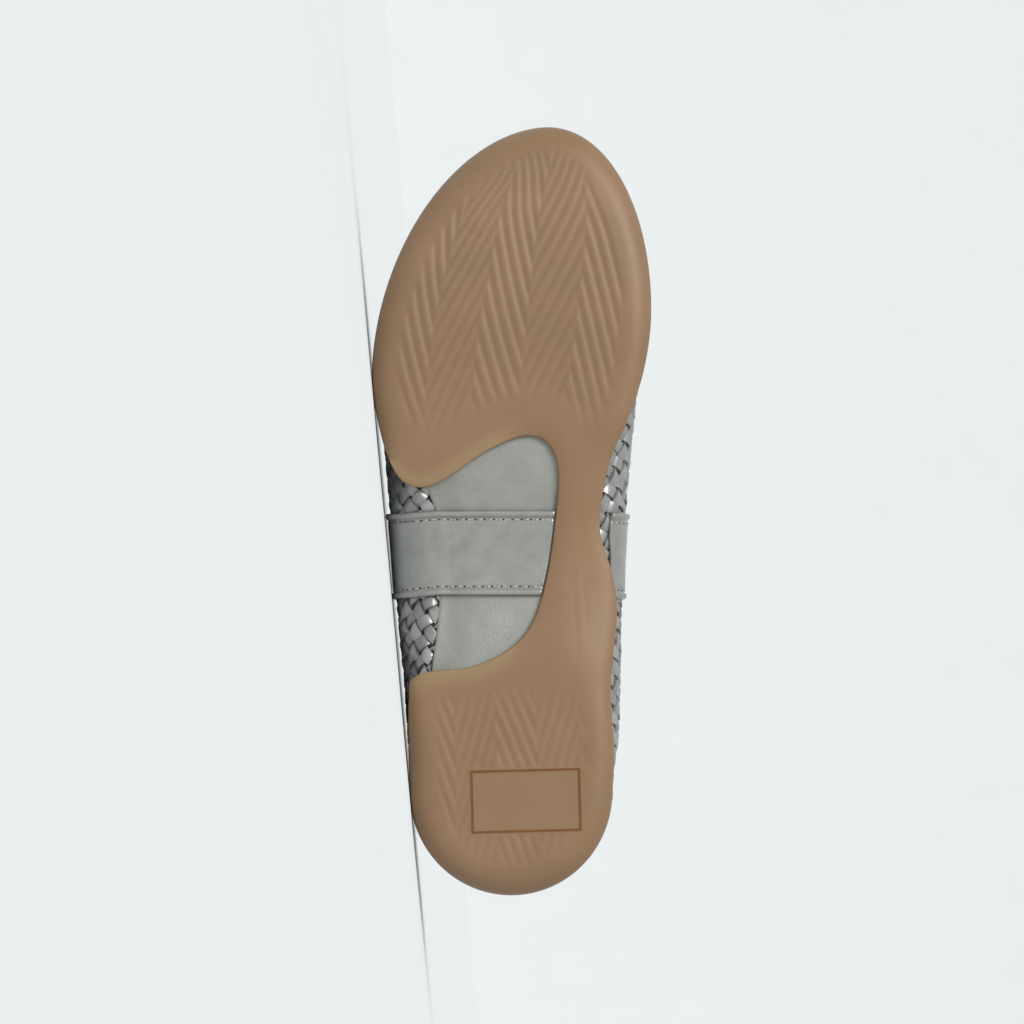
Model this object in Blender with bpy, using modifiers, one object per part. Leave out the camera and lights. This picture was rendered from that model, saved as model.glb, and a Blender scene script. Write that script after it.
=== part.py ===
"""Martial arts shoe for the right foot, resting on its lateral side.

The shoe is drawn in its own frame, in millimetres: along runs from the back of the heel to the
toe, across is positive toward the medial side, and up is away from the tread. An empty turns the
finished pieces onto their side.
"""

import math
from collections import namedtuple

import bmesh
import bpy
import numpy as np
from mathutils import Matrix, Vector, geometry

MM = 0.001
SHOE = "martial_arts_shoe"

# Clear space kept between neighbouring pieces
FIT_GAP = 0.3

# Plan outlines: the widest row of each side is its last, where the rounded toe begins
Edge = namedtuple("Edge", "along out")
Outline = namedtuple("Outline", "heel_at toe_at toe_across lateral medial")
LATERAL_TOE_POWER = 1.85
MEDIAL_TOE_POWER = 2.05

SOLE_EDGE = Outline(
    heel_at=0.0,
    toe_at=250.0,
    toe_across=12.0,
    lateral=(
        Edge(34.0, 33.0),
        Edge(54.0, 33.4),
        Edge(72.0, 33.0),
        Edge(105.0, 34.2),
        Edge(135.0, 37.6),
        Edge(148.0, 41.8),
        Edge(168.0, 45.2),
    ),
    medial=(
        Edge(34.0, 33.0),
        Edge(46.0, 33.5),
        Edge(66.0, 32.3),
        Edge(78.0, 33.0),
        Edge(91.0, 34.4),
        Edge(104.0, 33.0),
        Edge(117.0, 28.9),
        Edge(126.0, 29.1),
        Edge(141.0, 32.0),
        Edge(155.0, 38.0),
        Edge(171.0, 43.2),
        Edge(190.0, 45.5),
    ),
)
FEATHER = Outline(
    heel_at=4.2,
    toe_at=246.4,
    toe_across=12.0,
    lateral=(
        Edge(36.0, 29.4),
        Edge(52.0, 29.8),
        Edge(68.0, 28.0),
        Edge(84.0, 24.2),
        Edge(106.0, 22.8),
        Edge(126.0, 24.8),
        Edge(145.0, 34.0),
        Edge(168.0, 41.6),
    ),
    medial=(
        Edge(36.0, 29.4),
        Edge(48.0, 29.8),
        Edge(66.0, 28.8),
        Edge(80.0, 29.4),
        Edge(94.0, 29.4),
        Edge(108.0, 26.4),
        Edge(120.0, 24.2),
        Edge(138.0, 27.4),
        Edge(155.0, 34.0),
        Edge(171.0, 39.4),
        Edge(190.0, 41.9),
    ),
)
WIDEST = Outline(
    heel_at=1.6,
    toe_at=246.8,
    toe_across=12.0,
    lateral=(
        Edge(35.0, 32.2),
        Edge(52.0, 33.4),
        Edge(70.0, 34.6),
        Edge(86.0, 36.2),
        Edge(112.0, 38.2),
        Edge(130.0, 39.6),
        Edge(150.0, 41.2),
        Edge(169.0, 42.3),
    ),
    medial=(
        Edge(35.0, 32.8),
        Edge(50.0, 34.5),
        Edge(70.0, 35.3),
        Edge(96.0, 35.8),
        Edge(122.0, 36.9),
        Edge(148.0, 39.0),
        Edge(166.0, 41.0),
        Edge(190.0, 42.6),
    ),
)
TOPLINE = Outline(
    heel_at=6.0,
    toe_at=147.0,
    toe_across=3.0,
    lateral=(
        Edge(34.0, 25.6),
        Edge(52.0, 27.8),
        Edge(72.0, 28.4),
        Edge(95.0, 27.0),
    ),
    medial=(
        Edge(34.0, 25.6),
        Edge(52.0, 28.4),
        Edge(72.0, 29.4),
        Edge(95.0, 28.6),
    ),
)

# The topline's points run ahead of the outline's, so that the ribs of the vamp fan forward
FAN_SHIFT = math.radians(29.5)
FAN_SKEW = math.radians(9.0)

# Tread surface: bevelled heel, raised arch, flat ball and toe spring
HEEL_BEVEL = 1.5
HEEL_FLAT_FROM = 14.0
ARCH_FROM = 72.0
ARCH_TO = 144.0
ARCH_LIFT = 3.5
TOE_FLAT_TO = 178.0
TOE_SPRING = 9.0
TOE_SPRING_POWER = 2.0

# Outsole section: a rolled lower edge and a rim that cups the upper
FLOOR = 4.0
RIM_FULL = 12.0
EDGE_ROUND = 9.5
EDGE_SHARE = 0.62
EDGE_STEPS = 6
RIM_LEAN = 0.5
RIM_WALL = 1.5
RIM_DRAFT = 0.4
SOLE_POINTS = 92
Rim = namedtuple("Rim", "along lateral medial")
RIM = (
    Rim(0.0, 12.0, 12.0),
    Rim(40.0, 11.5, 11.5),
    Rim(58.0, 9.0, 9.0),
    Rim(72.0, 4.6, 8.0),
    Rim(90.0, 4.0, 8.0),
    Rim(104.0, 4.0, 5.0),
    Rim(112.0, 4.0, 4.0),
    Rim(128.0, 4.0, 4.0),
    Rim(140.0, 5.0, 4.2),
    Rim(154.0, 9.0, 6.0),
    Rim(168.0, 10.4, 8.8),
    Rim(185.0, 11.0, 11.0),
    Rim(250.0, 13.0, 13.0),
)

# Lateral arch cut-out, from the heel lobe round the arch to the forefoot lobe and back outside
CUT_STEPS = 6
CUT_DEPTH = 40.0
Cut = namedtuple("Cut", "along across")
CUTOUT = (
    Cut(62.0, -38.0),
    Cut(69.6, -33.2),
    Cut(72.9, -27.0),
    Cut(74.3, -13.0),
    Cut(80.2, -0.6),
    Cut(89.0, 7.0),
    Cut(104.0, 11.6),
    Cut(122.0, 14.2),
    Cut(138.0, 15.2),
    Cut(147.4, 11.4),
    Cut(149.0, 3.6),
    Cut(144.0, -8.2),
    Cut(136.4, -19.2),
    Cut(132.2, -28.0),
    Cut(134.4, -35.6),
    Cut(143.0, -43.0),
    Cut(130.0, -62.0),
    Cut(76.0, -60.0),
)
ARCH_SIDE = slice(4, 9)

# Upper wall
WALL = 2.0
AROUND = 108
ROWS = 17
INNER_ROW_STEP = 3
RIB_STEPS = 24
Lift = namedtuple("Lift", "along lateral medial")
WIDEST_LIFT = (
    Lift(0.0, 19.0, 19.0),
    Lift(70.0, 20.0, 20.0),
    Lift(118.0, 21.0, 20.0),
    Lift(168.0, 12.0, 12.0),
    Lift(250.0, 9.5, 9.5),
)
Tuck = namedtuple("Tuck", "along lateral medial")
TUCK = (
    Tuck(0.0, 0.0, 0.0),
    Tuck(56.0, 0.0, 0.0),
    Tuck(84.0, 1.0, 0.0),
    Tuck(96.0, 1.0, 0.1),
    Tuck(112.0, 1.0, 1.0),
    Tuck(128.0, 1.0, 1.0),
    Tuck(150.0, 0.0, 0.0),
    Tuck(250.0, 0.0, 0.0),
)
Top = namedtuple("Top", "along height")
TOP_HEIGHT = (
    Top(6.0, 60.0),
    Top(20.0, 57.0),
    Top(44.0, 50.0),
    Top(70.0, 47.5),
    Top(95.0, 50.0),
    Top(120.0, 56.5),
    Top(138.0, 61.0),
    Top(147.0, 62.5),
)
Fullness = namedtuple("Fullness", "along rise reach drop")
FULLNESS = (
    Fullness(0.0, 0.50, 0.30, 0.40),
    Fullness(70.0, 0.50, 0.35, 0.35),
    Fullness(120.0, 0.50, 0.42, 0.30),
    Fullness(168.0, 0.45, 0.50, 0.27),
    Fullness(215.0, 0.38, 0.53, 0.45),
    Fullness(250.0, 0.33, 0.53, 0.62),
)

# Steps in the upper's wall: crossing woven strips, rolled collar and plain back strip
WEAVE_HIGH = 0.45
WEAVE_LOW = -0.35
WEAVE_CLEAR = 1.5
WEAVE_LEAST = 3.4
COLLAR_ROWS = 2
COLLAR_STEP = 0.8
COLLAR_CREST = 1.2
BACK_COLUMNS = 1
BACK_STEP = 0.5

# Flat pieces under the foot
PANEL_THICK = 1.4
INSOLE_THICK = 3.0

# Saddle bands across the waist
BAND_BACK = 96.0
BAND_FRONT = 124.0
BAND_STAND = WEAVE_HIGH + FIT_GAP
BAND_THICK = 1.2
BAND_COLUMNS = 7
BAND_ROWS = 26
BAND_TOP = 0.92
MEDIAL_BAND_FOOT = 0.17
BAND_CUT_GAP = 0.9

# Centre of mass of the finished shoe, which the support points must enclose
BALANCE = Vector((128.3, 1.6, 15.3))
LATERAL_FACING = -0.5

Finish = namedtuple("Finish", "name colour roughness")
GUM = Finish("gum_rubber", (0.30, 0.10, 0.02), 0.45)
SILVER_WEAVE = Finish("silver_woven_leather", (0.45, 0.46, 0.47), 0.45)
SILVER_PANEL = Finish("silver_plain_leather", (0.52, 0.53, 0.54), 0.42)
BAND_LEATHER = Finish("silver_band_leather", (0.48, 0.49, 0.50), 0.42)
FOAM = Finish("grey_insole_foam", (0.25, 0.25, 0.25), 0.8)


def smooth(rows, column, along):
    """Cubic value of a table's column at places along the shoe, level at both ends."""
    places = np.array([row.along for row in rows])
    values = np.array([getattr(row, column) for row in rows])
    slopes = np.zeros(len(rows))
    slopes[1:-1] = (values[2:] - values[:-2]) / (places[2:] - places[:-2])
    at = np.clip(along, places[0], places[-1])
    k = np.clip(np.searchsorted(places, at, side="right") - 1, 0, len(rows) - 2)
    width = places[k + 1] - places[k]
    t = (at - places[k]) / width
    rising = t * t * (3 - 2 * t)
    bend = slopes[k] * t * (1 - t) ** 2 - slopes[k + 1] * t * t * (1 - t)
    return values[k] * (1 - rising) + values[k + 1] * rising + bend * width


def by_side(rows, along, turn):
    """Value of a two-sided table for points that lie at these turns round the shoe."""
    lateral = smooth(rows, "lateral", along)
    medial = smooth(rows, "medial", along)
    return np.where(np.sin(turn) >= 0, lateral, medial)


def half_width(rows, power, outline, toe_out, along):
    """Distance of one edge from the heel's centre line, rounded off at heel and toe."""
    first, last = rows[0], rows[-1]
    heel_t = np.clip((first.along - along) / (first.along - outline.heel_at), 0, 1)
    toe_t = np.clip((along - last.along) / (outline.toe_at - last.along), 0, 1)
    heel = first.out * np.sqrt(1 - heel_t**2)
    toe = toe_out + (last.out - toe_out) * (1 - toe_t**power) ** (1 / power)
    middle = smooth(rows, "out", along)
    return np.where(along < first.along, heel, np.where(along > last.along, toe, middle))


def around(outline, turn):
    """Plan points of an outline: turn 0 is the heel, and it grows along the lateral side."""
    along = outline.heel_at + (outline.toe_at - outline.heel_at) * (1 - np.cos(turn)) / 2
    skew = outline.toe_across
    lateral = half_width(outline.lateral, LATERAL_TOE_POWER, outline, -skew, along)
    medial = half_width(outline.medial, MEDIAL_TOE_POWER, outline, skew, along)
    return np.column_stack((along, np.where(np.sin(turn) >= 0, -lateral, medial)))


def turns(count):
    """Evenly spaced turns for a closed loop of points."""
    return np.arange(count) * (2 * math.pi / count)


def inset_loop(loop, inset):
    """A closed plan loop moved inward along its normals by one distance or one per point."""
    tangent = np.roll(loop, -1, 0) - np.roll(loop, 1, 0)
    tangent /= np.linalg.norm(tangent, axis=1)[:, None]
    inward = np.column_stack((-tangent[:, 1], tangent[:, 0]))
    return loop + inward * np.reshape(inset, (-1, 1))


def ground(along):
    """Height of the tread surface above the plane that heel and ball stand on."""
    heel_t = np.clip(1 - along / HEEL_FLAT_FROM, 0, 1)
    arch_t = np.clip((along - ARCH_FROM) / (ARCH_TO - ARCH_FROM), 0, 1)
    toe_t = np.clip((along - TOE_FLAT_TO) / (SOLE_EDGE.toe_at - TOE_FLAT_TO), 0, 1)
    arch = ARCH_LIFT * np.sin(math.pi * arch_t) ** 2
    return HEEL_BEVEL * heel_t**2 + arch + TOE_SPRING * toe_t**TOE_SPRING_POWER


def raised(loop, above_ground):
    """Plan loop lifted above the tread surface by one height or one per point."""
    return np.column_stack((loop, ground(loop[:, 0]) + above_ground))


def add_ring(mesh, points):
    """Vertices of one closed ring of points, given in millimetres."""
    return [mesh.verts.new(Vector(point) * MM) for point in points]


def add_band(mesh, lower, upper):
    """Faces between two rings of as many points."""
    for here in range(len(lower)):
        mesh.faces.new((lower[here - 1], lower[here], upper[here], upper[here - 1]))


def add_cap(mesh, ring):
    """Faces across a ring, from the lateral points to the medial ones."""
    count = len(ring)
    for k in range(count // 2):
        corners = (ring[k], ring[k + 1], ring[count - k - 1], ring[-k])
        mesh.faces.new(dict.fromkeys(corners))


def piece(name, mesh, finish):
    """Object of a finished mesh, with outward faces and its own material."""
    bmesh.ops.recalc_face_normals(mesh, faces=mesh.faces)
    data = bpy.data.meshes.new(name)
    mesh.to_mesh(data)
    mesh.free()
    material = bpy.data.materials.new(finish.name)
    material.use_nodes = True
    shader = material.node_tree.nodes["Principled BSDF"]
    shader.inputs["Base Color"].default_value = (*finish.colour, 1.0)
    shader.inputs["Roughness"].default_value = finish.roughness
    data.materials.append(material)
    return bpy.data.objects.new(name, data)


def plate(name, loop, bottom, thick, finish):
    """Flat piece that follows the tread surface at a height, with a closed plan loop."""
    mesh = bmesh.new()
    lower = add_ring(mesh, raised(loop, bottom))
    upper = add_ring(mesh, raised(loop, bottom + thick))
    add_band(mesh, lower, upper)
    add_cap(mesh, lower)
    add_cap(mesh, upper)
    return piece(name, mesh, finish)


def outsole_rings():
    """Rings of the outsole from the tread, round the rolled edge and rim, to the inner floor."""
    turn = turns(SOLE_POINTS)
    edge = around(SOLE_EDGE, turn)
    rim = by_side(RIM, edge[:, 0], turn)
    rounding = EDGE_ROUND * rim / RIM_FULL
    rings = []
    for step in range(EDGE_STEPS + 1):
        angle = math.pi / 2 * step / EDGE_STEPS
        loop = inset_loop(edge, rounding * (1 - math.sin(angle)))
        rings.append(raised(loop, EDGE_SHARE * rim * (1 - math.cos(angle))))
    rings.append(raised(inset_loop(edge, RIM_LEAN), rim))
    rings.append(raised(inset_loop(edge, RIM_LEAN + RIM_WALL), rim))
    rings.append(raised(inset_loop(edge, RIM_LEAN + RIM_WALL + RIM_DRAFT), FLOOR))
    return rings


def cutout_loop():
    """Closed smooth curve through the rows of the cut-out."""
    points = np.array(CUTOUT)
    before, after, beyond = (np.roll(points, shift, 0) for shift in (1, -1, -2))
    loop = []
    for k, start in enumerate(points):
        for step in range(CUT_STEPS):
            t = step / CUT_STEPS
            leave = (after[k] - before[k]) / 2
            arrive = (beyond[k] - start) / 2
            rising = t * t * (3 - 2 * t)
            bend = leave * t * (1 - t) ** 2 - arrive * t * t * (1 - t)
            loop.append(start * (1 - rising) + after[k] * rising + bend)
    return loop


def build_cutter():
    """Prism of the lateral cut-out, which only shapes the outsole."""
    mesh = bmesh.new()
    floor = [mesh.verts.new(Vector((*point, -CUT_DEPTH / 2)) * MM) for point in cutout_loop()]
    face = mesh.faces.new(floor)
    grown = bmesh.ops.extrude_face_region(mesh, geom=[face])["geom"]
    risen = [item for item in grown if isinstance(item, bmesh.types.BMVert)]
    bmesh.ops.translate(mesh, verts=risen, vec=Vector((0, 0, CUT_DEPTH * MM)))
    cutter = piece("arch_cutter", mesh, GUM)
    cutter.hide_render = True
    cutter.display_type = "WIRE"
    return cutter


def build_outsole(cutter):
    """Gum outsole: cupped rim, rolled edge and the lateral cut-out."""
    mesh = bmesh.new()
    rings = [add_ring(mesh, ring) for ring in outsole_rings()]
    for lower, upper in zip(rings, rings[1:]):
        add_band(mesh, lower, upper)
    add_cap(mesh, rings[0])
    add_cap(mesh, rings[-1])
    sole = piece("outsole", mesh, GUM)
    cut = sole.modifiers.new("arch_cutout", "BOOLEAN")
    cut.operation = "DIFFERENCE"
    cut.solver = "EXACT"
    cut.object = cutter
    return sole


def rib_lines(turn):
    """Fine polylines up the outside of the upper, one for each turn, from feather to topline."""
    foot = raised(around(FEATHER, turn), FLOOR + FIT_GAP)
    wide_plan = around(WIDEST, turn)
    along = wide_plan[:, 0]
    wide = raised(wide_plan, FLOOR + by_side(WIDEST_LIFT, along, turn))
    fanned = turn + FAN_SHIFT * np.sin(turn) - FAN_SKEW * np.sin(2 * turn)
    top_plan = around(TOPLINE, fanned)
    top = np.column_stack((top_plan, smooth(TOP_HEIGHT, "height", top_plan[:, 0])))

    tuck = by_side(TUCK, along, turn)[:, None]
    climb = np.linspace(0, 1, RIB_STEPS)[None, :]
    rolled = np.sqrt(1 - (1 - climb) ** 2)
    outward = (1 - tuck) * climb**2 * (3 - 2 * climb) + tuck * rolled
    share = np.stack((outward, outward, np.broadcast_to(climb, outward.shape)), axis=2)
    lower = foot[:, None] + (wide - foot)[:, None] * share

    span = top - wide
    level = np.array((1.0, 1.0, 0.0))
    upright = np.array((0.0, 0.0, 1.0))
    rise, reach, drop = (smooth(FULLNESS, name, along)[:, None] for name in ("rise", "reach", "drop"))
    leave = wide + span * upright * rise
    arrive = top - span * level * reach - span * upright * drop
    t = np.linspace(0, 1, RIB_STEPS)[None, 1:, None]
    higher = (
        wide[:, None] * (1 - t) ** 3
        + leave[:, None] * 3 * t * (1 - t) ** 2
        + arrive[:, None] * 3 * t * t * (1 - t)
        + top[:, None] * t**3
    )
    return np.concatenate((lower, higher), axis=1)


def spaced(lines, shares):
    """Points at these shares of each polyline's length."""
    steps = np.linalg.norm(np.diff(lines, axis=1), axis=2)
    run = np.concatenate((np.zeros((len(lines), 1)), np.cumsum(steps, axis=1)), axis=1)
    points = np.empty((len(lines), len(shares), 3))
    for k, line in enumerate(lines):
        for axis in range(3):
            points[k, :, axis] = np.interp(shares * run[k, -1], run[k], line[:, axis])
    return points


def outward_normals(points, closed):
    """Unit normals of a grid of columns round the shoe and rows up its side."""
    if closed:
        sideways = np.roll(points, -1, 0) - np.roll(points, 1, 0)
    else:
        sideways = np.gradient(points, axis=0)
    normal = np.cross(sideways, np.gradient(points, axis=1))
    return normal / np.linalg.norm(normal, axis=2)[:, :, None]


def weave_steps(points, turn):
    """How far each point of the upper's outside stands from its plain surface."""
    columns, rows = np.indices(points.shape[:2])
    steps = np.where((columns + rows) % 2 == 0, WEAVE_HIGH, WEAVE_LOW)
    rim_top = ground(points[:, :, 0]) + by_side(RIM, points[:, 0, 0], turn)[:, None]
    steps[points[:, :, 2] < rim_top + WEAVE_CLEAR] = 0.0
    apart = np.linalg.norm(np.roll(points, -1, 0) - points, axis=2)
    steps[apart < WEAVE_LEAST] = 0.0
    back = np.minimum(columns, AROUND - columns) <= BACK_COLUMNS
    steps[back & (steps != 0)] = BACK_STEP
    steps[:, -COLLAR_ROWS:] = COLLAR_STEP
    steps[:, 0] = 0.0
    return steps


def upper_grid():
    """Plain outer points of the upper, their normals and the turns of their columns."""
    turn = turns(AROUND)
    points = spaced(rib_lines(turn), np.linspace(0, 1, ROWS + 1))
    return points, outward_normals(points, closed=True), turn


def add_weave(mesh, lower, upper, row):
    """Faces between two rows of the weave, folded along the raised crossings."""
    for here in range(len(lower)):
        a, b, c, d = lower[here - 1], lower[here], upper[here], upper[here - 1]
        if (here + row) % 2 == 0:
            mesh.faces.new((a, b, d))
            mesh.faces.new((b, c, d))
        else:
            mesh.faces.new((a, b, c))
            mesh.faces.new((a, c, d))


def build_upper(points, normals, turn):
    """Hollow woven upper, open underneath and at the collar."""
    mesh = bmesh.new()
    outside = points + normals * weave_steps(points, turn)[:, :, None]
    inside = points - normals * WALL
    outer = [add_ring(mesh, outside[:, row]) for row in range(ROWS + 1)]
    crest = (outside[:, ROWS] + inside[:, ROWS]) / 2 + np.array((0, 0, COLLAR_CREST))
    crest_ring = add_ring(mesh, crest)
    inner = [add_ring(mesh, inside[:, row]) for row in range(ROWS, -1, -INNER_ROW_STEP)]
    inner.append(add_ring(mesh, inside[:, 0]))
    for row in range(ROWS):
        add_weave(mesh, outer[row], outer[row + 1], row)
    closing = [outer[-1], crest_ring, *inner, outer[0]]
    for lower, upper in zip(closing, closing[1:]):
        add_band(mesh, lower, upper)
    return piece("upper", mesh, SILVER_WEAVE)


def turn_at(outline, along, side):
    """Turn at which an outline reaches a place along the shoe; side is 1 for lateral."""
    share = (along - outline.heel_at) / (outline.toe_at - outline.heel_at)
    turn = math.acos(1 - 2 * share)
    return turn if side > 0 else 2 * math.pi - turn


def build_band(name, side, foot, under_panel):
    """Band laid on the upper's side; the lateral one runs on under the bottom panel."""
    ends = [turn_at(WIDEST, along, side) for along in (BAND_BACK, BAND_FRONT)]
    lines = rib_lines(np.linspace(min(ends), max(ends), BAND_COLUMNS))
    if under_panel:
        rows = CUTOUT[ARCH_SIDE]
        reach = np.interp(
            lines[:, 0, 0], [row.along for row in rows], [row.across for row in rows]
        )
        start = lines[:, 0].copy()
        start[:, 1] = reach - BAND_CUT_GAP
        lines = np.concatenate((start[:, None], lines), axis=1)
    points = spaced(lines, np.linspace(foot, BAND_TOP, BAND_ROWS))
    points += outward_normals(points, closed=False) * BAND_STAND
    mesh = bmesh.new()
    grid = [add_ring(mesh, column) for column in points]
    for near, far in zip(grid, grid[1:]):
        for row in range(BAND_ROWS - 1):
            mesh.faces.new((near[row], far[row], far[row + 1], near[row + 1]))
    band = piece(name, mesh, BAND_LEATHER)
    shell = band.modifiers.new("leather", "SOLIDIFY")
    shell.thickness = BAND_THICK * MM
    shell.offset = 1.0
    return band


def resting_turn(pieces):
    """Rotation and place that rest the pieces on the lateral facet below their balance point."""
    graph = bpy.context.evaluated_depsgraph_get()
    hull = bmesh.new()
    for item in pieces:
        shape = item.evaluated_get(graph).to_mesh()
        for vertex in shape.vertices:
            hull.verts.new(vertex.co)
    bmesh.ops.convex_hull(hull, input=hull.verts)
    hull.normal_update()
    balance = BALANCE * MM
    drops = []
    for face in hull.faces:
        corners = [vertex.co for vertex in face.verts]
        foot = geometry.intersect_ray_tri(*corners, face.normal, balance)
        if foot and face.normal.y < LATERAL_FACING:
            drops.append(((foot - balance).length, tuple(face.normal)))
    up = -Vector(min(drops)[1])
    toe = Vector((1, 0, 0)) - up * up.x
    backward = -toe.normalized()
    turn = Matrix((backward, up.cross(backward), up))
    placed = np.array([turn @ vertex.co for vertex in hull.verts if vertex.link_faces])
    low, high = placed.min(axis=0), placed.max(axis=0)
    hull.free()
    return turn, Vector((-(low[0] + high[0]) / 2, -(low[1] + high[1]) / 2, -low[2]))


def main():
    """Build the pieces, gather them in one collection and lay the shoe on its side."""
    for item in list(bpy.data.objects):
        bpy.data.objects.remove(item)
    parts = bpy.data.collections.new(SHOE)
    helpers = bpy.data.collections.new("cutters")
    bpy.context.scene.collection.children.link(parts)
    bpy.context.scene.collection.children.link(helpers)

    cutter = build_cutter()
    helpers.objects.link(cutter)
    points, normals, turn = upper_grid()
    inner_foot = (points - normals * WALL)[:, 0, :2]
    panel_loop = inset_loop(inner_foot, FIT_GAP)
    panel_at = FLOOR + FIT_GAP
    insole_at = panel_at + PANEL_THICK + FIT_GAP
    pieces = (
        build_outsole(cutter),
        plate("bottom_panel", panel_loop, panel_at, PANEL_THICK, SILVER_PANEL),
        build_upper(points, normals, turn),
        plate("insole", inset_loop(panel_loop, FIT_GAP), insole_at, INSOLE_THICK, FOAM),
        build_band("saddle_band_lateral", 1, 0.0, under_panel=True),
        build_band("saddle_band_medial", -1, MEDIAL_BAND_FOOT, under_panel=False),
    )
    for item in pieces:
        parts.objects.link(item)

    rest, place = resting_turn(pieces)
    frame = bpy.data.objects.new("shoe_frame", None)
    frame.rotation_euler = rest.to_euler()
    frame.location = place
    parts.objects.link(frame)
    for item in (cutter, *pieces):
        item.parent = frame


main()
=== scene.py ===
"""Looks of a low martial arts shoe for the right foot, which lies on its lateral side.

The shoe's own frame is in millimetres: along runs from the back of the heel to the toe, across is
positive toward the medial side, and up is away from the tread. RestPose turns it into the row
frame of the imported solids. Fields are in millimetres and radians, apart from shares, powers and
counts, and a pair named for a fade or a reach holds the two ends of a soft change.
"""

import logging
import math
from dataclasses import dataclass, field
from enum import Enum
from typing import Any, Callable, NamedTuple, Optional, Sequence

import bpy
import numpy as np
from mathutils import Euler, Matrix, Vector
from mathutils.bvhtree import BVHTree
from mathutils.geometry import delaunay_2d_cdt


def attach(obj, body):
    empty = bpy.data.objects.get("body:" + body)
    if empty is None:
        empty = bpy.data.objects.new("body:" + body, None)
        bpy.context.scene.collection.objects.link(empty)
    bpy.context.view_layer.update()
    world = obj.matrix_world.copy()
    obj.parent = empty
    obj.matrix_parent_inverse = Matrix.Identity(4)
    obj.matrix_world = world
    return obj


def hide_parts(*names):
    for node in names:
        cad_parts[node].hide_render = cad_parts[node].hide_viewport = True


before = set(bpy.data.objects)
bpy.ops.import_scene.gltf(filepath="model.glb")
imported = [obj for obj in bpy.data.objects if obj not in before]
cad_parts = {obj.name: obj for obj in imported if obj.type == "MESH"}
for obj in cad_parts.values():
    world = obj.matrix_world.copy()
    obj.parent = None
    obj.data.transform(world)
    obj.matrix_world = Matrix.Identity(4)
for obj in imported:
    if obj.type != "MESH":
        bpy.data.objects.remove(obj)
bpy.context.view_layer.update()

LOG = logging.getLogger("shoe")
MM = 0.001
SEED = 7
# A wave texture of scale 1 has this wavelength.
WAVE_TURN = math.pi / 10
Array = np.ndarray
Face = tuple[int, ...]


class Side(Enum):
    """The two sides of the shoe; the value is the sign of across."""

    LATERAL = -1
    MEDIAL = 1


class Edge(NamedTuple):
    """Row of a plan outline: how far an edge lies from the heel's centre line."""

    along: float
    out: float


class Pair(NamedTuple):
    """Row of a table with one value for each side of the shoe."""

    along: float
    lateral: float
    medial: float


class Height(NamedTuple):
    """Row of the collar's height."""

    along: float
    height: float


class Fullness(NamedTuple):
    """Row of the shape of the upper's ribs above the widest line."""

    along: float
    rise: float
    reach: float
    drop: float


class Spot(NamedTuple):
    """A place in plan."""

    along: float
    across: float


class Crease(NamedTuple):
    """A soft trough or, with a negative depth, a ridge, from one place in plan to another."""

    start: tuple[float, float]
    end: tuple[float, float]
    depth: float
    width: float


def table(kind: Callable[..., Any], *rows: tuple[Any, ...]) -> tuple[Any, ...]:
    """Rows of one kind, each from the plain tuple of its values."""
    return tuple(kind(*row) for row in rows)


def cubic(t: Any, start: Any, end: Any, leave: Any, arrive: Any, span: Any = 1.0) -> Any:
    """Value of a cubic between two values.

    Args:
        t: share of the way, from 0 to 1.
        start: value at 0.
        end: value at 1.
        leave: slope at 0.
        arrive: slope at 1.
        span: length of the way that the slopes are measured on.

    Returns:
        The value at t.
    """
    rising = t * t * (3 - 2 * t)
    bend = leave * t * (1 - t) ** 2 - arrive * t * t * (1 - t)
    return start * (1 - rising) + end * rising + bend * span


def smooth(rows: Sequence[Any], column: str, along: Array) -> Array:
    """Cubic value of a table's column at places along the shoe, level at both ends.

    Args:
        rows: table rows, sorted by their along column.
        column: name of the column to read.
        along: places along the shoe.

    Returns:
        One value for each place.
    """
    places = np.array([row.along for row in rows])
    values = np.array([getattr(row, column) for row in rows])
    slopes = np.zeros(len(rows))
    slopes[1:-1] = (values[2:] - values[:-2]) / (places[2:] - places[:-2])
    at = np.clip(along, places[0], places[-1])
    k = np.clip(np.searchsorted(places, at, side="right") - 1, 0, len(rows) - 2)
    width = places[k + 1] - places[k]
    t = (at - places[k]) / width
    return cubic(t, values[k], values[k + 1], slopes[k], slopes[k + 1], width)


def ease(value: Array, low: float, high: float) -> Array:
    """Share from 0 at low to 1 at high, with soft ends."""
    t = np.clip((value - low) / (high - low), 0, 1)
    return t * t * (3 - 2 * t)


def window(value: Array, opening: tuple[float, float], closing: tuple[float, float]) -> Array:
    """Share that rises over the first range of a value and falls over the second."""
    return ease(value, *opening) * (1 - ease(value, *closing))


def by_side(rows: Sequence[Pair], along: Array, turn: Array) -> Array:
    """Value of a two-sided table for points at these turns round the shoe."""
    lateral, medial = (smooth(rows, column, along) for column in ("lateral", "medial"))
    return np.where(np.sin(turn) >= 0, lateral, medial)


def unit(vectors: Array) -> Array:
    """Vectors of the last axis, made one long."""
    return vectors / np.linalg.norm(vectors, axis=-1)[..., None]


def turns(count: int) -> Array:
    """Evenly spaced turns of a closed loop that starts at the heel."""
    return np.arange(count) * (2 * math.pi / count)


def every_pair(first: Array, second: Array) -> list[Array]:
    """The two values of every pair from two lists, the second running faster."""
    return [values.reshape(-1) for values in np.meshgrid(first, second, indexing="ij")]


def run_along(points: Array, axis: int = 0) -> Array:
    """Length along lines of points that follow one another on this axis, 0 at the first."""
    run = np.cumsum(np.linalg.norm(np.diff(points, axis=axis), axis=-1), axis=axis)
    return np.concatenate((np.zeros_like(np.take(run, [0], axis)), run), axis=axis)


def loop_steps(loop: Array) -> Array:
    """Vector from the point before to the point after each point of a closed loop."""
    return np.roll(loop, -1, 0) - np.roll(loop, 1, 0)


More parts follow.
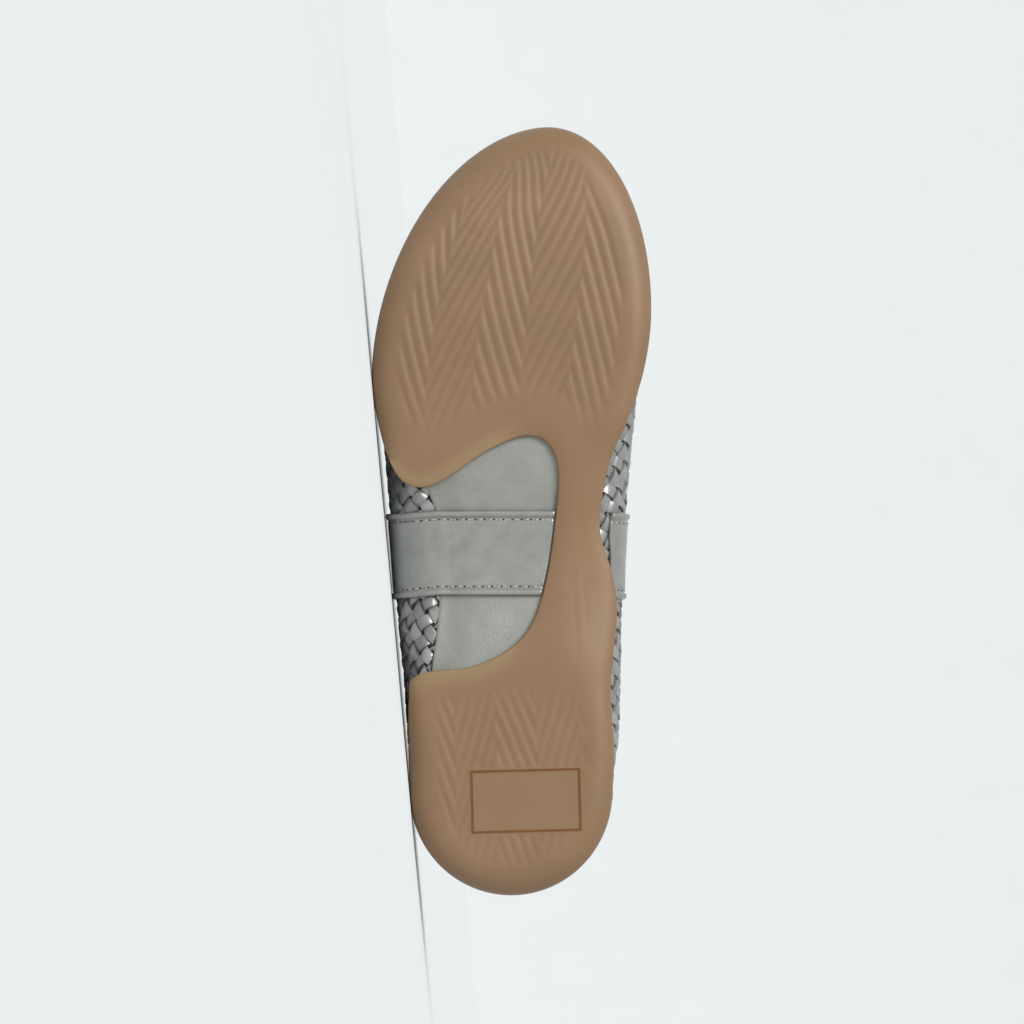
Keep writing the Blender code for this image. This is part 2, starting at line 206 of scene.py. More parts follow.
def loop_inward(loop: Array) -> Array:
    """Unit inward normals of a closed plan loop that runs heel, lateral, toe, medial."""
    tangent = unit(loop_steps(loop))
    return np.column_stack((-tangent[:, 1], tangent[:, 0]))


def even_loop(loop: Array, spacing: float) -> Array:
    """Spread the points of a closed loop evenly.

    Args:
        loop: plan points, which may carry more columns of values.
        spacing: about how far apart the new points lie.

    Returns:
        The new points, with as many columns.
    """
    closed = np.vstack((loop, loop[:1]))
    run = run_along(closed)
    at = np.linspace(0, run[-1], int(run[-1] / spacing), endpoint=False)
    return np.column_stack([np.interp(at, run, column) for column in closed.T])


def soften_loop(values: Array, passes: int) -> Array:
    """Average values round a closed loop with their neighbours.

    Args:
        values: one row for each point of the loop.
        passes: how many times.

    Returns:
        The softer values.
    """
    for _ in range(passes):
        values = values / 2 + (np.roll(values, 1, 0) + np.roll(values, -1, 0)) / 4
    return values


def inside_loop(points: Array, loop: Array) -> Array:
    """Tell which plan points lie inside a closed loop.

    Args:
        points: plan points.
        loop: plan points of the loop.

    Returns:
        True for each point inside.
    """
    inside = np.zeros(len(points), bool)
    for a, b in zip(loop, np.roll(loop, -1, 0)):
        spans = (a[1] > points[:, 1]) != (b[1] > points[:, 1])
        if a[1] != b[1]:
            crossing = a[0] + (points[:, 1] - a[1]) * (b[0] - a[0]) / (b[1] - a[1])
            inside ^= spans & (points[:, 0] < crossing)
    return inside


def loop_distance(points: Array, loop: Array, closed: bool = True) -> tuple[Array, Array]:
    """Distance of plan points to a loop or an open line.

    Args:
        points: plan points.
        loop: plan points of the loop or line.
        closed: whether the last point joins the first.

    Returns:
        The distances, and the index of the loop point where each nearest segment starts.
    """
    best = np.full(len(points), np.inf)
    nearest = np.zeros(len(points), int)
    ends = np.roll(loop, -1, 0) if closed else loop[1:]
    for k, (a, b) in enumerate(zip(loop, ends)):
        reach = b - a
        share = np.clip((points - a) @ reach / (reach @ reach), 0, 1)
        gap = points - a - share[:, None] * reach
        far = gap[:, 0] ** 2 + gap[:, 1] ** 2
        closer = far < best
        best[closer] = far[closer]
        nearest[closer] = k
    return np.sqrt(best), nearest


def press(plan: Array, creases: Sequence[Crease]) -> Array:
    """How far creases press each plan point in.

    Args:
        plan: plan points.
        creases: soft troughs and ridges.

    Returns:
        One depth for each point.
    """
    depth = np.zeros(len(plan))
    for crease in creases:
        start, reach = np.array(crease.start), np.array(crease.end) - np.array(crease.start)
        share = np.clip((plan - start) @ reach / (reach @ reach), 0, 1)
        gap = np.linalg.norm(plan - start - share[:, None] * reach, axis=1)
        # The ends keep a little of the depth, so that a crease doesn't stop at a point.
        fade = np.sin(math.pi * np.clip(share, 0.02, 0.98))
        depth += crease.depth * fade * np.exp(-((gap / crease.width) ** 2))
    return depth


@dataclass(frozen=True)
class RestPose:
    """How the shoe lies: turn and place of its own frame in the row frame."""

    turn_deg: tuple[float, float, float] = (-90.704093, -174.769883, 0.0)
    place: tuple[float, float, float] = (123.893991, -31.380154, 29.704617)

    def matrix(self) -> Matrix:
        """Matrix from the shoe's frame in metres to the row frame."""
        turn = Euler([math.radians(angle) for angle in self.turn_deg])
        return Matrix.LocRotScale(Vector(self.place) * MM, turn, None)

    def place_points(self, points: Array) -> Array:
        """Points of the shoe's frame, in millimetres, as row frame points in metres."""
        matrix = np.array(self.matrix())
        return np.asarray(points) * MM @ matrix[:3, :3].T + matrix[:3, 3]

    def direction(self, along: float, across: float, up: float) -> Vector:
        """A direction of the shoe's frame, in the row frame."""
        return self.matrix().to_3x3() @ Vector((along, across, up))


REST = RestPose()


@dataclass(frozen=True)
class Outline:
    """Plan outline with a rounded heel and a rounded, inward-set toe."""

    heel_at: float
    toe_at: float
    toe_across: float
    lateral: tuple[Edge, ...]
    medial: tuple[Edge, ...]
    lateral_power: float = 1.85
    medial_power: float = 2.05

    def half_width(self, side: Side, along: Array) -> Array:
        """Distance of one edge from the heel's centre line.

        Args:
            side: side of the shoe.
            along: places along the shoe.

        Returns:
            One distance for each place.
        """
        rows = self.lateral if side is Side.LATERAL else self.medial
        power = self.lateral_power if side is Side.LATERAL else self.medial_power
        toe_out = side.value * self.toe_across
        first, last = rows[0], rows[-1]
        heel_t = np.clip((first.along - along) / (first.along - self.heel_at), 0, 1)
        toe_t = np.clip((along - last.along) / (self.toe_at - last.along), 0, 1)
        heel = first.out * np.sqrt(1 - heel_t**2)
        toe = toe_out + (last.out - toe_out) * (1 - toe_t**power) ** (1 / power)
        middle = smooth(rows, "out", along)
        return np.where(along < first.along, heel, np.where(along > last.along, toe, middle))

    def around(self, turn: Array) -> Array:
        """Plan points of the outline.

        Args:
            turn: turns round the shoe: 0 is the heel, and a turn grows along the lateral side.

        Returns:
            One plan point for each turn.
        """
        along = self.heel_at + (self.toe_at - self.heel_at) * (1 - np.cos(turn)) / 2
        edges = [side.value * self.half_width(side, along) for side in Side]
        return np.column_stack((along, np.where(np.sin(turn) >= 0, *edges)))

    def turn_at(self, along: float, side: Side) -> float:
        """Turn at which the outline reaches a place along the shoe on one side."""
        turn = math.acos(1 - 2 * (along - self.heel_at) / (self.toe_at - self.heel_at))
        return turn if side is Side.LATERAL else 2 * math.pi - turn


@dataclass(frozen=True)
class Last:
    """The form that the shoe is made over: its plan outlines, tread surface and ribs."""

    sole_edge: Outline = Outline(
        heel_at=0.0,
        toe_at=250.0,
        toe_across=12.0,
        lateral=table(
            Edge, (34, 33), (54, 33.4), (72, 33), (105, 34.2), (135, 37.6), (148, 41.8),
            (168, 45.2),
        ),
        medial=table(
            Edge, (34, 33), (46, 33.5), (66, 32.3), (78, 33), (91, 34.4), (104, 33), (117, 28.9),
            (126, 29.1), (141, 32), (155, 38), (171, 43.2), (190, 45.5),
        ),
    )
    feather: Outline = Outline(
        heel_at=4.2,
        toe_at=246.4,
        toe_across=12.0,
        lateral=table(
            Edge, (36, 29.4), (52, 29.8), (68, 28), (84, 24.2), (106, 22.8), (126, 24.8), (145, 34),
            (168, 41.6),
        ),
        medial=table(
            Edge, (36, 29.4), (48, 29.8), (66, 28.8), (80, 29.4), (94, 29.4), (108, 26.4),
            (120, 24.2), (138, 27.4), (155, 34), (171, 39.4), (190, 41.9),
        ),
    )
    widest: Outline = Outline(
        heel_at=1.6,
        toe_at=246.8,
        toe_across=12.0,
        lateral=table(
            Edge, (35, 32.2), (52, 33.4), (70, 34.6), (86, 36.2), (112, 38.2), (130, 39.6),
            (150, 41.2), (169, 42.3),
        ),
        medial=table(
            Edge, (35, 32.8), (50, 34.5), (70, 35.3), (96, 35.8), (122, 36.9), (148, 39), (166, 41),
            (190, 42.6),
        ),
    )
    topline: Outline = Outline(
        heel_at=6.0,
        toe_at=147.0,
        toe_across=3.0,
        lateral=table(Edge, (34, 25.6), (52, 27.8), (72, 28.4), (95, 27)),
        medial=table(Edge, (34, 25.6), (52, 28.4), (72, 29.4), (95, 28.6)),
    )
    fan_shift: float = math.radians(29.5)
    fan_skew: float = math.radians(9.0)
    fit_gap: float = 0.3
    floor: float = 4.0
    wall: float = 2.0
    heel_bevel: float = 1.5
    heel_flat_from: float = 14.0
    arch_from: float = 72.0
    arch_to: float = 144.0
    arch_lift: float = 3.5
    toe_flat_to: float = 178.0
    toe_spring: float = 9.0
    rib_steps: int = 24
    rim: tuple[Pair, ...] = table(
        Pair, (0, 12, 12), (40, 11.5, 11.5), (58, 9, 9), (72, 4.6, 8), (90, 4, 8), (104, 4, 5),
        (112, 4, 4), (128, 4, 4), (140, 5, 4.2), (154, 9, 6), (168, 10.4, 8.8), (185, 11, 11),
        (250, 13, 13),
    )
    widest_lift: tuple[Pair, ...] = table(
        Pair, (0, 19, 19), (70, 20, 20), (118, 21, 20), (168, 12, 12), (250, 9.5, 9.5),
    )
    tuck: tuple[Pair, ...] = table(
        Pair, (0, 0, 0), (56, 0, 0), (84, 1, 0), (96, 1, 0.1), (112, 1, 1), (128, 1, 1),
        (150, 0, 0), (250, 0, 0),
    )
    top_height: tuple[Height, ...] = table(
        Height, (6, 60), (20, 57), (44, 50), (70, 47.5), (95, 50), (120, 56.5), (138, 61),
        (147, 62.5),
    )
    fullness: tuple[Fullness, ...] = table(
        Fullness, (0, 0.5, 0.3, 0.4), (70, 0.5, 0.35, 0.35), (120, 0.5, 0.42, 0.3),
        (168, 0.45, 0.5, 0.27), (215, 0.38, 0.53, 0.45), (250, 0.33, 0.53, 0.62),
    )
    cutout: tuple[Spot, ...] = table(
        Spot, (62, -38), (69.6, -33.2), (72.9, -27), (74.3, -13), (80.2, -0.6), (89, 7),
        (104, 11.6), (122, 14.2), (138, 15.2), (147.4, 11.4), (149, 3.6), (144, -8.2),
        (136.4, -19.2), (132.2, -28), (134.4, -35.6), (143, -43), (130, -62), (76, -60),
    )
    cut_steps: int = 20
    sag_depth: float = 1.9
    sag_beyond: tuple[float, float] = (2.0, 9.0)
    sag_from_edge: tuple[float, float] = (1.5, 12.0)
    edge_points: int = 400

    def ground(self, along: Array) -> Array:
        """Height of the tread surface above the plane that heel and ball stand on.

        Args:
            along: places along the shoe.

        Returns:
            One height for each place.
        """
        toe_at = self.sole_edge.toe_at
        heel_t = np.clip(1 - along / self.heel_flat_from, 0, 1)
        arch_t = np.clip((along - self.arch_from) / (self.arch_to - self.arch_from), 0, 1)
        toe_t = np.clip((along - self.toe_flat_to) / (toe_at - self.toe_flat_to), 0, 1)
        arch = self.arch_lift * np.sin(math.pi * arch_t) ** 2
        return self.heel_bevel * heel_t**2 + arch + self.toe_spring * toe_t**2

    def raised(self, loop: Array, above: Any) -> Array:
        """Plan points lifted above the tread surface by one height or one for each."""
        return np.column_stack((loop[:, :2], self.ground(loop[:, 0]) + above))

    def from_edge(self, plan: Array, outline: Outline) -> Array:
        """Distance of plan points to one of the outlines."""
        return loop_distance(plan, outline.around(turns(self.edge_points)))[0]

    def cutout_loop(self) -> Array:
        """Closed smooth curve of the outsole's lateral cut-out, partly outside the sole.

        Returns:
            Plan points of the curve.
        """
        points = np.array(self.cutout)
        before, after, beyond = (np.roll(points, shift, 0) for shift in (1, -1, -2))
        leave, arrive = (after - before) / 2, (beyond - points) / 2
        shares = [step / self.cut_steps for step in range(self.cut_steps)]
        stretches = zip(points, after, leave, arrive)
        return np.array([cubic(t, *stretch) for stretch in stretches for t in shares])

    def sag(self, plan: Array) -> Array:
        """How far the leather under the foot sags toward the tread where the outsole is cut away.

        Args:
            plan: plan points.

        Returns:
            One depth for each point.
        """
        cut = self.cutout_loop()
        gap, _ = loop_distance(plan, cut)
        beyond = np.where(inside_loop(plan, cut), -gap, gap)
        open_share = 1 - ease(beyond, *self.sag_beyond)
        from_edge = self.from_edge(plan, self.feather)
        return self.sag_depth * open_share * ease(from_edge, *self.sag_from_edge)

    def rib_lines(self, turn: Array) -> Array:
        """Fine polylines up the outside of the upper, one for each turn.

        Args:
            turn: turns round the shoe.

        Returns:
            Points of shape (turns, steps, 3), from the feather edge to the topline.
        """
        foot = self.raised(self.feather.around(turn), self.floor + self.fit_gap)
        plan = self.widest.around(turn)
        along = plan[:, 0]
        wide = self.raised(plan, self.floor + by_side(self.widest_lift, along, turn))
        fanned = turn + self.fan_shift * np.sin(turn) - self.fan_skew * np.sin(2 * turn)
        top_plan = self.topline.around(fanned)
        top = np.column_stack((top_plan, smooth(self.top_height, "height", top_plan[:, 0])))

        tuck = by_side(self.tuck, along, turn)[:, None]
        climb = np.linspace(0, 1, self.rib_steps)[None, :]
        rolled = np.sqrt(1 - (1 - climb) ** 2)
        outward = (1 - tuck) * climb**2 * (3 - 2 * climb) + tuck * rolled
        share = np.stack((outward, outward, np.broadcast_to(climb, outward.shape)), axis=2)
        lower = foot[:, None] + (wide - foot)[:, None] * share

        span = top - wide
        level, upright = np.array((1.0, 1.0, 0.0)), np.array((0.0, 0.0, 1.0))
        rise, reach, drop = (
            smooth(self.fullness, column, along)[:, None] for column in Fullness._fields[1:]
        )
        leave = wide + span * upright * rise
        arrive = top - span * level * reach - span * upright * drop
        t = np.linspace(0, 1, self.rib_steps)[None, 1:, None]
        higher = (
            wide[:, None] * (1 - t) ** 3
            + leave[:, None] * 3 * t * (1 - t) ** 2
            + arrive[:, None] * 3 * t * t * (1 - t)
            + top[:, None] * t**3
        )
        return np.concatenate((lower, higher), axis=1)


def spaced(lines: Array, shares: Array) -> Array:
    """Points at the same shares of each polyline's length.

    Args:
        lines: points of shape (lines, steps, 3).
        shares: shares from 0 to 1.

    Returns:
        Points of shape (lines, shares, 3).
    """
    points = np.empty((len(lines), len(shares), 3))
    for k, (line, run) in enumerate(zip(lines, run_along(lines, 1))):
        for axis in range(3):
            points[k, :, axis] = np.interp(shares * run[-1], run, line[:, axis])
    return points


def line_lengths(lines: Array) -> Array:
    """Length of each polyline."""
    return np.linalg.norm(np.diff(lines, axis=-2), axis=-1).sum(axis=-1)


def grid_normals(points: Array, closed: bool) -> Array:
    """Unit normals of a grid of columns round the shoe and rows up its side."""
    sideways = loop_steps(points) if closed else np.gradient(points, axis=0)
    return unit(np.cross(sideways, np.gradient(points, axis=1)))


class Surface:
    """The upper's plain outside, sampled finely so that any place on it is quick to find."""

    COLUMNS = 900
    ROWS = 120

    def __init__(self, last: Last) -> None:
        """Sample the ribs.

        Args:
            last: form that the upper is made over.
        """
        lines = last.rib_lines(turns(self.COLUMNS))
        points = spaced(lines, np.linspace(0, 1, self.ROWS + 1))
        normals = grid_normals(points, closed=True)
        self.points = np.concatenate((points, points[:1]))
        self.normals = np.concatenate((normals, normals[:1]))
        self.lengths = line_lengths(self.points)

    def at(self, share: Array, rise: Array, stand: Any = 0.0) -> Array:
        """Points on or off the surface.

        Args:
            share: turn as a share of a full turn, from 0 to 1.
            rise: share of the way up the rib, from 0 to 1.
            stand: distance out from the surface, one or one for each point.

        Returns:
            Points of the shoe's frame.
        """
        column = np.clip(share, 0, 1) * self.COLUMNS
        row = np.clip(rise, 0, 1) * self.ROWS
        i = np.minimum(column.astype(int), self.COLUMNS - 1)
        j = np.minimum(row.astype(int), self.ROWS - 1)
        s, t = (column - i)[..., None], (row - j)[..., None]

        def blend(grid: Array) -> Array:
            """Bilinear value of a grid.

            Args:
                grid: one row of values for each column and row of the surface.

            Returns:
                One row of values for each place.
            """
            near = grid[i, j] * (1 - t) + grid[i, j + 1] * t
            far = grid[i + 1, j] * (1 - t) + grid[i + 1, j + 1] * t
            return near * (1 - s) + far * s

        return blend(self.points) + blend(self.normals) * np.asarray(stand)[..., None]

    def length(self, share: Array) -> Array:
        """Length of the rib at these shares of a turn."""
        return np.interp(share * self.COLUMNS, np.arange(self.COLUMNS + 1), self.lengths)

    def below_top(self, share: Array, below: float, stand: float) -> Array:
        """Points off the surface, this far below the topline."""
        return self.at(share, 1 - below / self.length(share), stand)

    def seam(self, share: Array, rise: Array, stand: float) -> tuple[Array, Array]:
        """Points of a seam that stands off the surface, and their outward normals."""
        path = self.at(share, rise, stand)
        return path, unit(path - self.at(share, rise))


def linear(hex_colour: str) -> tuple[float, float, float, float]:
    """Linear colour of an sRGB hex value.

    Args:
        hex_colour: a hash sign and six digits.

    Returns:
        Red, green, blue and an alpha of one.
    """
    parts = [int(hex_colour[k : k + 2], 16) / 255 for k in (1, 3, 5)]
    straight = [c / 12.92 if c <= 0.04045 else ((c + 0.055) / 1.055) ** 2.4 for c in parts]
    return (*straight, 1.0)


def feed(tree: bpy.types.NodeTree, node: bpy.types.Node, inputs: dict[str, Any]) -> None:
    """Give a node its inputs.

    Args:
        tree: node tree of the material.
        node: the node.
        inputs: input name to the output socket that feeds it, or to its constant value.
    """
    for name, value in inputs.items():
        if isinstance(value, bpy.types.NodeSocket):
            tree.links.new(value, node.inputs[name])
        else:
            node.inputs[name].default_value = value


def add_node(
    tree: bpy.types.NodeTree, kind: str, inputs: Optional[dict[str, Any]] = None, **settings: Any
) -> bpy.types.Node:
    """Add a shader node.

    Args:
        tree: node tree of the material.
        kind: Blender's name of the node type, without its first word.
        inputs: input name to the output socket that feeds it, or to its constant value.
        settings: attributes of the node.

    Returns:
        The new node.
    """
    node = tree.nodes.new(f"ShaderNode{kind}")
    for name, value in settings.items():
        setattr(node, name, value)
    feed(tree, node, inputs or {})
    return node


def ramp_colours(ramp: bpy.types.Node, *stops: tuple[float, str]) -> bpy.types.NodeSocket:
    """Give a colour ramp its stops.

    Args:
        ramp: the colour ramp.
        stops: two or more pairs of place and hex colour.

    Returns:
        The ramp's colour socket.
    """
    elements = ramp.color_ramp.elements
    while len(elements) < len(stops):
        elements.new(0.5)
    for element, (place, colour) in zip(elements, stops):
        element.position = place
        element.color = linear(colour)
    return ramp.outputs["Color"]


def per_mm(size_mm: float) -> float:
    """Scale of a pattern whose cells are this large."""
    return 1 / (size_mm * MM)


@dataclass(frozen=True)
class Finish:
    """What every finish has: its name and how it takes light."""

    name: str
    roughness: float
    metallic: float = 0.0
    ior: float = 1.5

    def start(self) -> tuple[bpy.types.Material, bpy.types.NodeTree, bpy.types.Node]:
        """Start the material.

        Returns:
            The material, its tree, and its shader with the constant values set.
        """
        material = bpy.data.materials.new(self.name)
        material.use_nodes = True
        tree = material.node_tree
        shader = tree.nodes["Principled BSDF"]
        inputs = {"Roughness": self.roughness, "Metallic": self.metallic, "IOR": self.ior}
        feed(tree, shader, inputs)
        return material, tree, shader


@dataclass(frozen=True)
class GumRubber(Finish):
    """Moulded gum rubber: cloudy tan, satin gloss, some light through its edges, and paler painted
    light.
    """

    light: str = "#81654A"
    dark: str = "#7D6347"
    rosy: str = "#84674D"
    # Paler colour of the painted light: a glow through narrow edges and a highlight on the medial
    # waist.
    painted_light: str = "#8B7254"
    gloss: float = 0.38
    cloud_mm: float = 22.0
    grain_mm: float = 0.6
    grain_depth_mm: float = 0.025
    glow: float = 0.12
    glow_mm: float = 3.0
    glow_reach: tuple[float, float, float] = (1.0, 0.55, 0.3)

    def build(self) -> bpy.types.Material:
        """Build it.

        Returns:
            Cloudy colour with a fine moulded grain, paler as painted light where the attribute says
            so.
        """
        material, tree, shader = self.start()
        place = add_node(tree, "TexCoord").outputs["Object"]
        clouds = {"Scale": per_mm(self.cloud_mm), "Detail": 3.0, "Roughness": 0.55}
        cloud = add_node(tree, "TexNoise", {"Vector": place, **clouds}).outputs["Fac"]
        painted_light = add_node(tree, "Attribute", attribute_name="painted_light").outputs["Fac"]
        tone = add_node(tree, "Mix", {"Factor": painted_light, "A": cloud, "B": 1.0}).outputs["Result"]
        ramp = add_node(tree, "ValToRGB", {"Fac": tone})
        stops = (0.34, self.dark), (0.5, self.light), (0.66, self.rosy), (1.0, self.painted_light)
        grains = {"Scale": per_mm(self.grain_mm), "Detail": 2.0}
        grain = add_node(tree, "TexNoise", {"Vector": place, **grains}).outputs["Fac"]
        depth = {"Strength": 0.6, "Distance": self.grain_depth_mm * MM}
        inputs = {
            "Base Color": ramp_colours(ramp, *stops),
            "Normal": add_node(tree, "Bump", {"Height": grain, **depth}).outputs["Normal"],
            "Specular IOR Level": self.gloss,
            "Subsurface Weight": self.glow,
            "Subsurface Radius": self.glow_reach,
            "Subsurface Scale": self.glow_mm * MM,
        }
        feed(tree, shader, inputs)
        return material


@dataclass(frozen=True)
class SilverLeather(Finish):
    """Silver-coated leather: satin sheen over a fine pebbled grain and soft wrinkles."""

    light: str = "#92938D"
    dark: str = "#8A8B85"
    grain_mm: float = 0.8
    grain_depth_mm: float = 0.11
    coat: float = 0.3
    coat_roughness: float = 0.28
    crease_mm: float = 1.7
    crease_stretch: float = 0.3
    crease_depth_mm: float = 0.06
    wrinkle_mm: float = 7.0
    wrinkle_depth_mm: float = 0.07
    tone_attribute: str = ""
    tone_share: float = 0.6

    def build(self) -> bpy.types.Material:
        """Build it; a tone attribute, where named, shades each strip a little.

        Returns:
            Pebbled leather whose colour follows its wrinkles.
        """
        material, tree, shader = self.start()
        place = add_node(tree, "TexCoord").outputs["Object"]
        folds = {"Scale": per_mm(self.wrinkle_mm), "Detail": 4.0, "Roughness": 0.6}
        folds["Distortion"] = 0.6
        wrinkle = add_node(tree, "TexNoise", {"Vector": place, **folds}).outputs["Fac"]
        tone = wrinkle
        if self.tone_attribute:
            strip = add_node(tree, "Attribute", attribute_name=self.tone_attribute).outputs["Fac"]
            mixed = {"Factor": self.tone_share, "A": wrinkle, "B": strip}
            tone = add_node(tree, "Mix", mixed).outputs["Result"]
        ramp = add_node(tree, "ValToRGB", {"Fac": tone})
        cells = {"Vector": place, "Scale": per_mm(self.grain_mm)}
        pebble = add_node(tree, "TexVoronoi", cells, feature="SMOOTH_F1").outputs["Distance"]
        longer = {"Vector": place, "Scale": (1.0, 1.0, self.crease_stretch)}
        stretched = add_node(tree, "Mapping", longer).outputs["Vector"]
        lines = {"Scale": per_mm(self.crease_mm), "Detail": 3.0, "Distortion": 0.8}
        crease = add_node(tree, "TexNoise", {"Vector": stretched, **lines}).outputs["Fac"]
        reliefs = (
            (pebble, self.grain_depth_mm, True),
            (crease, self.crease_depth_mm, False),
            (wrinkle, self.wrinkle_depth_mm, False),
        )
        normal = {}
        for height, depth_mm, sunk in reliefs:
            relief = {"Height": height, "Strength": 0.5, "Distance": depth_mm * MM, **normal}
            normal = {"Normal": add_node(tree, "Bump", relief, invert=sunk).outputs["Normal"]}
        inputs = {
            "Base Color": ramp_colours(ramp, (0.3, self.dark), (0.7, self.light)),
            "Coat Weight": self.coat,
            "Coat Roughness": self.coat_roughness,
        }
        feed(tree, shader, {**inputs, **normal})
        return material


class ThreadRun(Enum):
    """What the threads of a cloth follow; the value is the name of the coordinates."""

    SPACE = "Object"
    WALL = "UV"


@dataclass(frozen=True)
class Cloth(Finish):
    """Plain woven cloth: matt, with crossing threads too fine to count."""

    light: str = "#8E8E8B"
    dark: str = "#757572"
    thread_mm: float = 1.1
    thread_depth_mm: float = 0.08
    threads: ThreadRun = ThreadRun.SPACE

    def build(self) -> bpy.types.Material:
        """Build it, with threads about twice as coarse as real ones, so that they show.

        Returns:
            Cloth with a paler crown on each thread.
        """
        material, tree, shader = self.start()
        place = add_node(tree, "TexCoord").outputs[self.threads.value]
        waves = {"Vector": place, "Scale": WAVE_TURN / (self.thread_mm * MM), "Distortion": 0.6}
        weave = add_node(tree, "Math", operation="MAXIMUM")
        for socket, axis in zip(weave.inputs, "XZ" if self.threads is ThreadRun.SPACE else "XY"):
            wave = add_node(tree, "TexWave", waves, bands_direction=axis)
            tree.links.new(wave.outputs["Fac"], socket)
        height = weave.outputs["Value"]
        ramp = add_node(tree, "ValToRGB", {"Fac": height})
        depth = {"Strength": 0.6, "Distance": self.thread_depth_mm * MM}
        inputs = {
            "Base Color": ramp_colours(ramp, (0.2, self.dark), (0.9, self.light)),
            "Normal": add_node(tree, "Bump", {"Height": height, **depth}).outputs["Normal"],
        }
        feed(tree, shader, inputs)
        return material


@dataclass(frozen=True)
class Thread(Finish):
    """Bonded sewing thread: two plies that catch the light in short slanted lines."""

    light: str = "#A9AAA6"
    dark: str = "#7C7D79"
    ply_mm: float = 0.9

    def build(self) -> bpy.types.Material:
        """Build it, with plies coarser than real ones, so that they show.

        Returns:
            Slanted light and dark plies.
        """
        material, tree, shader = self.start()
        place = add_node(tree, "TexCoord").outputs["Object"]
        waves = {"Vector": place, "Scale": WAVE_TURN / (self.ply_mm * MM), "Distortion": 0.3}
        plies = add_node(tree, "TexWave", waves, bands_direction="DIAGONAL").outputs["Fac"]
        ramp = add_node(tree, "ValToRGB", {"Fac": plies})
        feed(tree, shader, {"Base Color": ramp_colours(ramp, (0.1, self.dark), (0.7, self.light))})
        return material


@dataclass(frozen=True)
class Paper(Finish):
    """Seamless paper: matt and even."""

    light: str = "#DDE1E2"
    dark: str = "#DBDFE0"
    cloud_mm: float = 300.0
    gloss: float = 0.0

    def build(self) -> bpy.types.Material:
        """Build it without a tooth, which would show from a low camera as streaks.

        Returns:
            Paper of almost even colour.
        """
        material, tree, shader = self.start()
        place = add_node(tree, "TexCoord").outputs["Object"]
        clouds = {"Vector": place, "Scale": per_mm(self.cloud_mm)}
        cloud = add_node(tree, "TexNoise", clouds).outputs["Fac"]
        ramp = add_node(tree, "ValToRGB", {"Fac": cloud})
        colour = ramp_colours(ramp, (0.3, self.dark), (0.7, self.light))
        feed(tree, shader, {"Base Color": colour, "Specular IOR Level": self.gloss})
        return material


@dataclass(frozen=True)
class Finishes:
    """The materials of the shoe and of the paper round it, built once."""

    gum: bpy.types.Material
    gum_line: bpy.types.Material
    panel: bpy.types.Material
    strip: bpy.types.Material
    trim: bpy.types.Material
    backing: bpy.types.Material
    lining: bpy.types.Material
    insole: bpy.types.Material
    thread: bpy.types.Material
    paper: bpy.types.Material
    backdrop: bpy.types.Material

    @classmethod
    def build(cls) -> "Finishes":
        """Build every material.

        Returns:
            The set of them.
        """
        finishes = dict(
            # Moulded natural rubber: warm, faintly cloudy, with a soft satin light on each ridge.
            gum=GumRubber("gum_rubber_moulded", roughness=0.49, ior=1.52),
            # Ink that has soaked into the rubber: a narrow, darker, orange-brown line without
            # relief.
            gum_line=GumRubber(
                "gum_rubber_inked_line", roughness=0.55,
                light="#6A421A", dark="#643E18", rosy="#70461D", painted_light="#70461D",
            ),
            # Smooth coated leather, stretched flat: cool grey satin with faint pebbles and folds.
            panel=SilverLeather(
                "silver_leather_panel", roughness=0.44, metallic=0.28,
                grain_depth_mm=0.16, crease_depth_mm=0.11,
            ),
            # Narrow strips of it, bent over one another: bright crowns, and no two of one tone.
            strip=SilverLeather(
                "silver_leather_strip", roughness=0.4, metallic=0.35,
                light="#9C9D9A", dark="#7C7D7B", coat=0.5, coat_roughness=0.22,
                wrinkle_depth_mm=0.15, tone_attribute="tone",
            ),
            # Folded and pressed edges of it: the glossiest, so that every fold draws a light line.
            trim=SilverLeather(
                "silver_leather_trim", roughness=0.35, metallic=0.5,
                light="#9A9B96", dark="#8B8C87", coat=0.6, coat_roughness=0.2,
                grain_depth_mm=0.15, crease_depth_mm=0.13, wrinkle_depth_mm=0.14,
            ),
            # Woven backing: matt and nearly black, painted shade so that the gaps of the weave look
            # deep.
            backing=Cloth("backing_cloth_painted_shade", roughness=0.9, light="#2A2A2A", dark="#1A1A1B"),
            # Woven lining: matt mid grey with a fine check of threads round and up the wall.
            lining=Cloth("grey_lining_cloth", roughness=0.85, threads=ThreadRun.WALL),
            # Woven cover of the sock liner: paler than the lining, and as matt.
            insole=Cloth("insole_cloth", roughness=0.9, light="#A5A6A2", dark="#8D8E8A"),
            # Bonded polyester thread: pale, with a small glint on each ply.
            thread=Thread("silver_thread", roughness=0.5),
            # Background paper: matt, pale and cool, with nothing on it for the eye to rest on.
            paper=Paper("floor_paper", roughness=0.95),
            backdrop=Paper("backdrop_paper", roughness=0.95, light="#D1D3D3", dark="#CFD2D2"),
        )
        return cls(**{name: finish.build() for name, finish in finishes.items()})


def select_only(piece: bpy.types.Object) -> None:
    """Make one object the only selected and the active one.

    Args:
        piece: the object.
    """
    bpy.ops.object.select_all(action="DESELECT")
    piece.select_set(True)
    bpy.context.view_layer.objects.active = piece


def face_outward(piece: bpy.types.Object) -> None:
    """Turn the faces of a closed piece outward.

    Args:
        piece: the piece, which is selected afterwards.
    """
    select_only(piece)
    bpy.ops.object.mode_set(mode="EDIT")
    bpy.ops.mesh.select_all(action="SELECT")
    bpy.ops.mesh.normals_make_consistent(inside=False)
    bpy.ops.object.mode_set(mode="OBJECT")


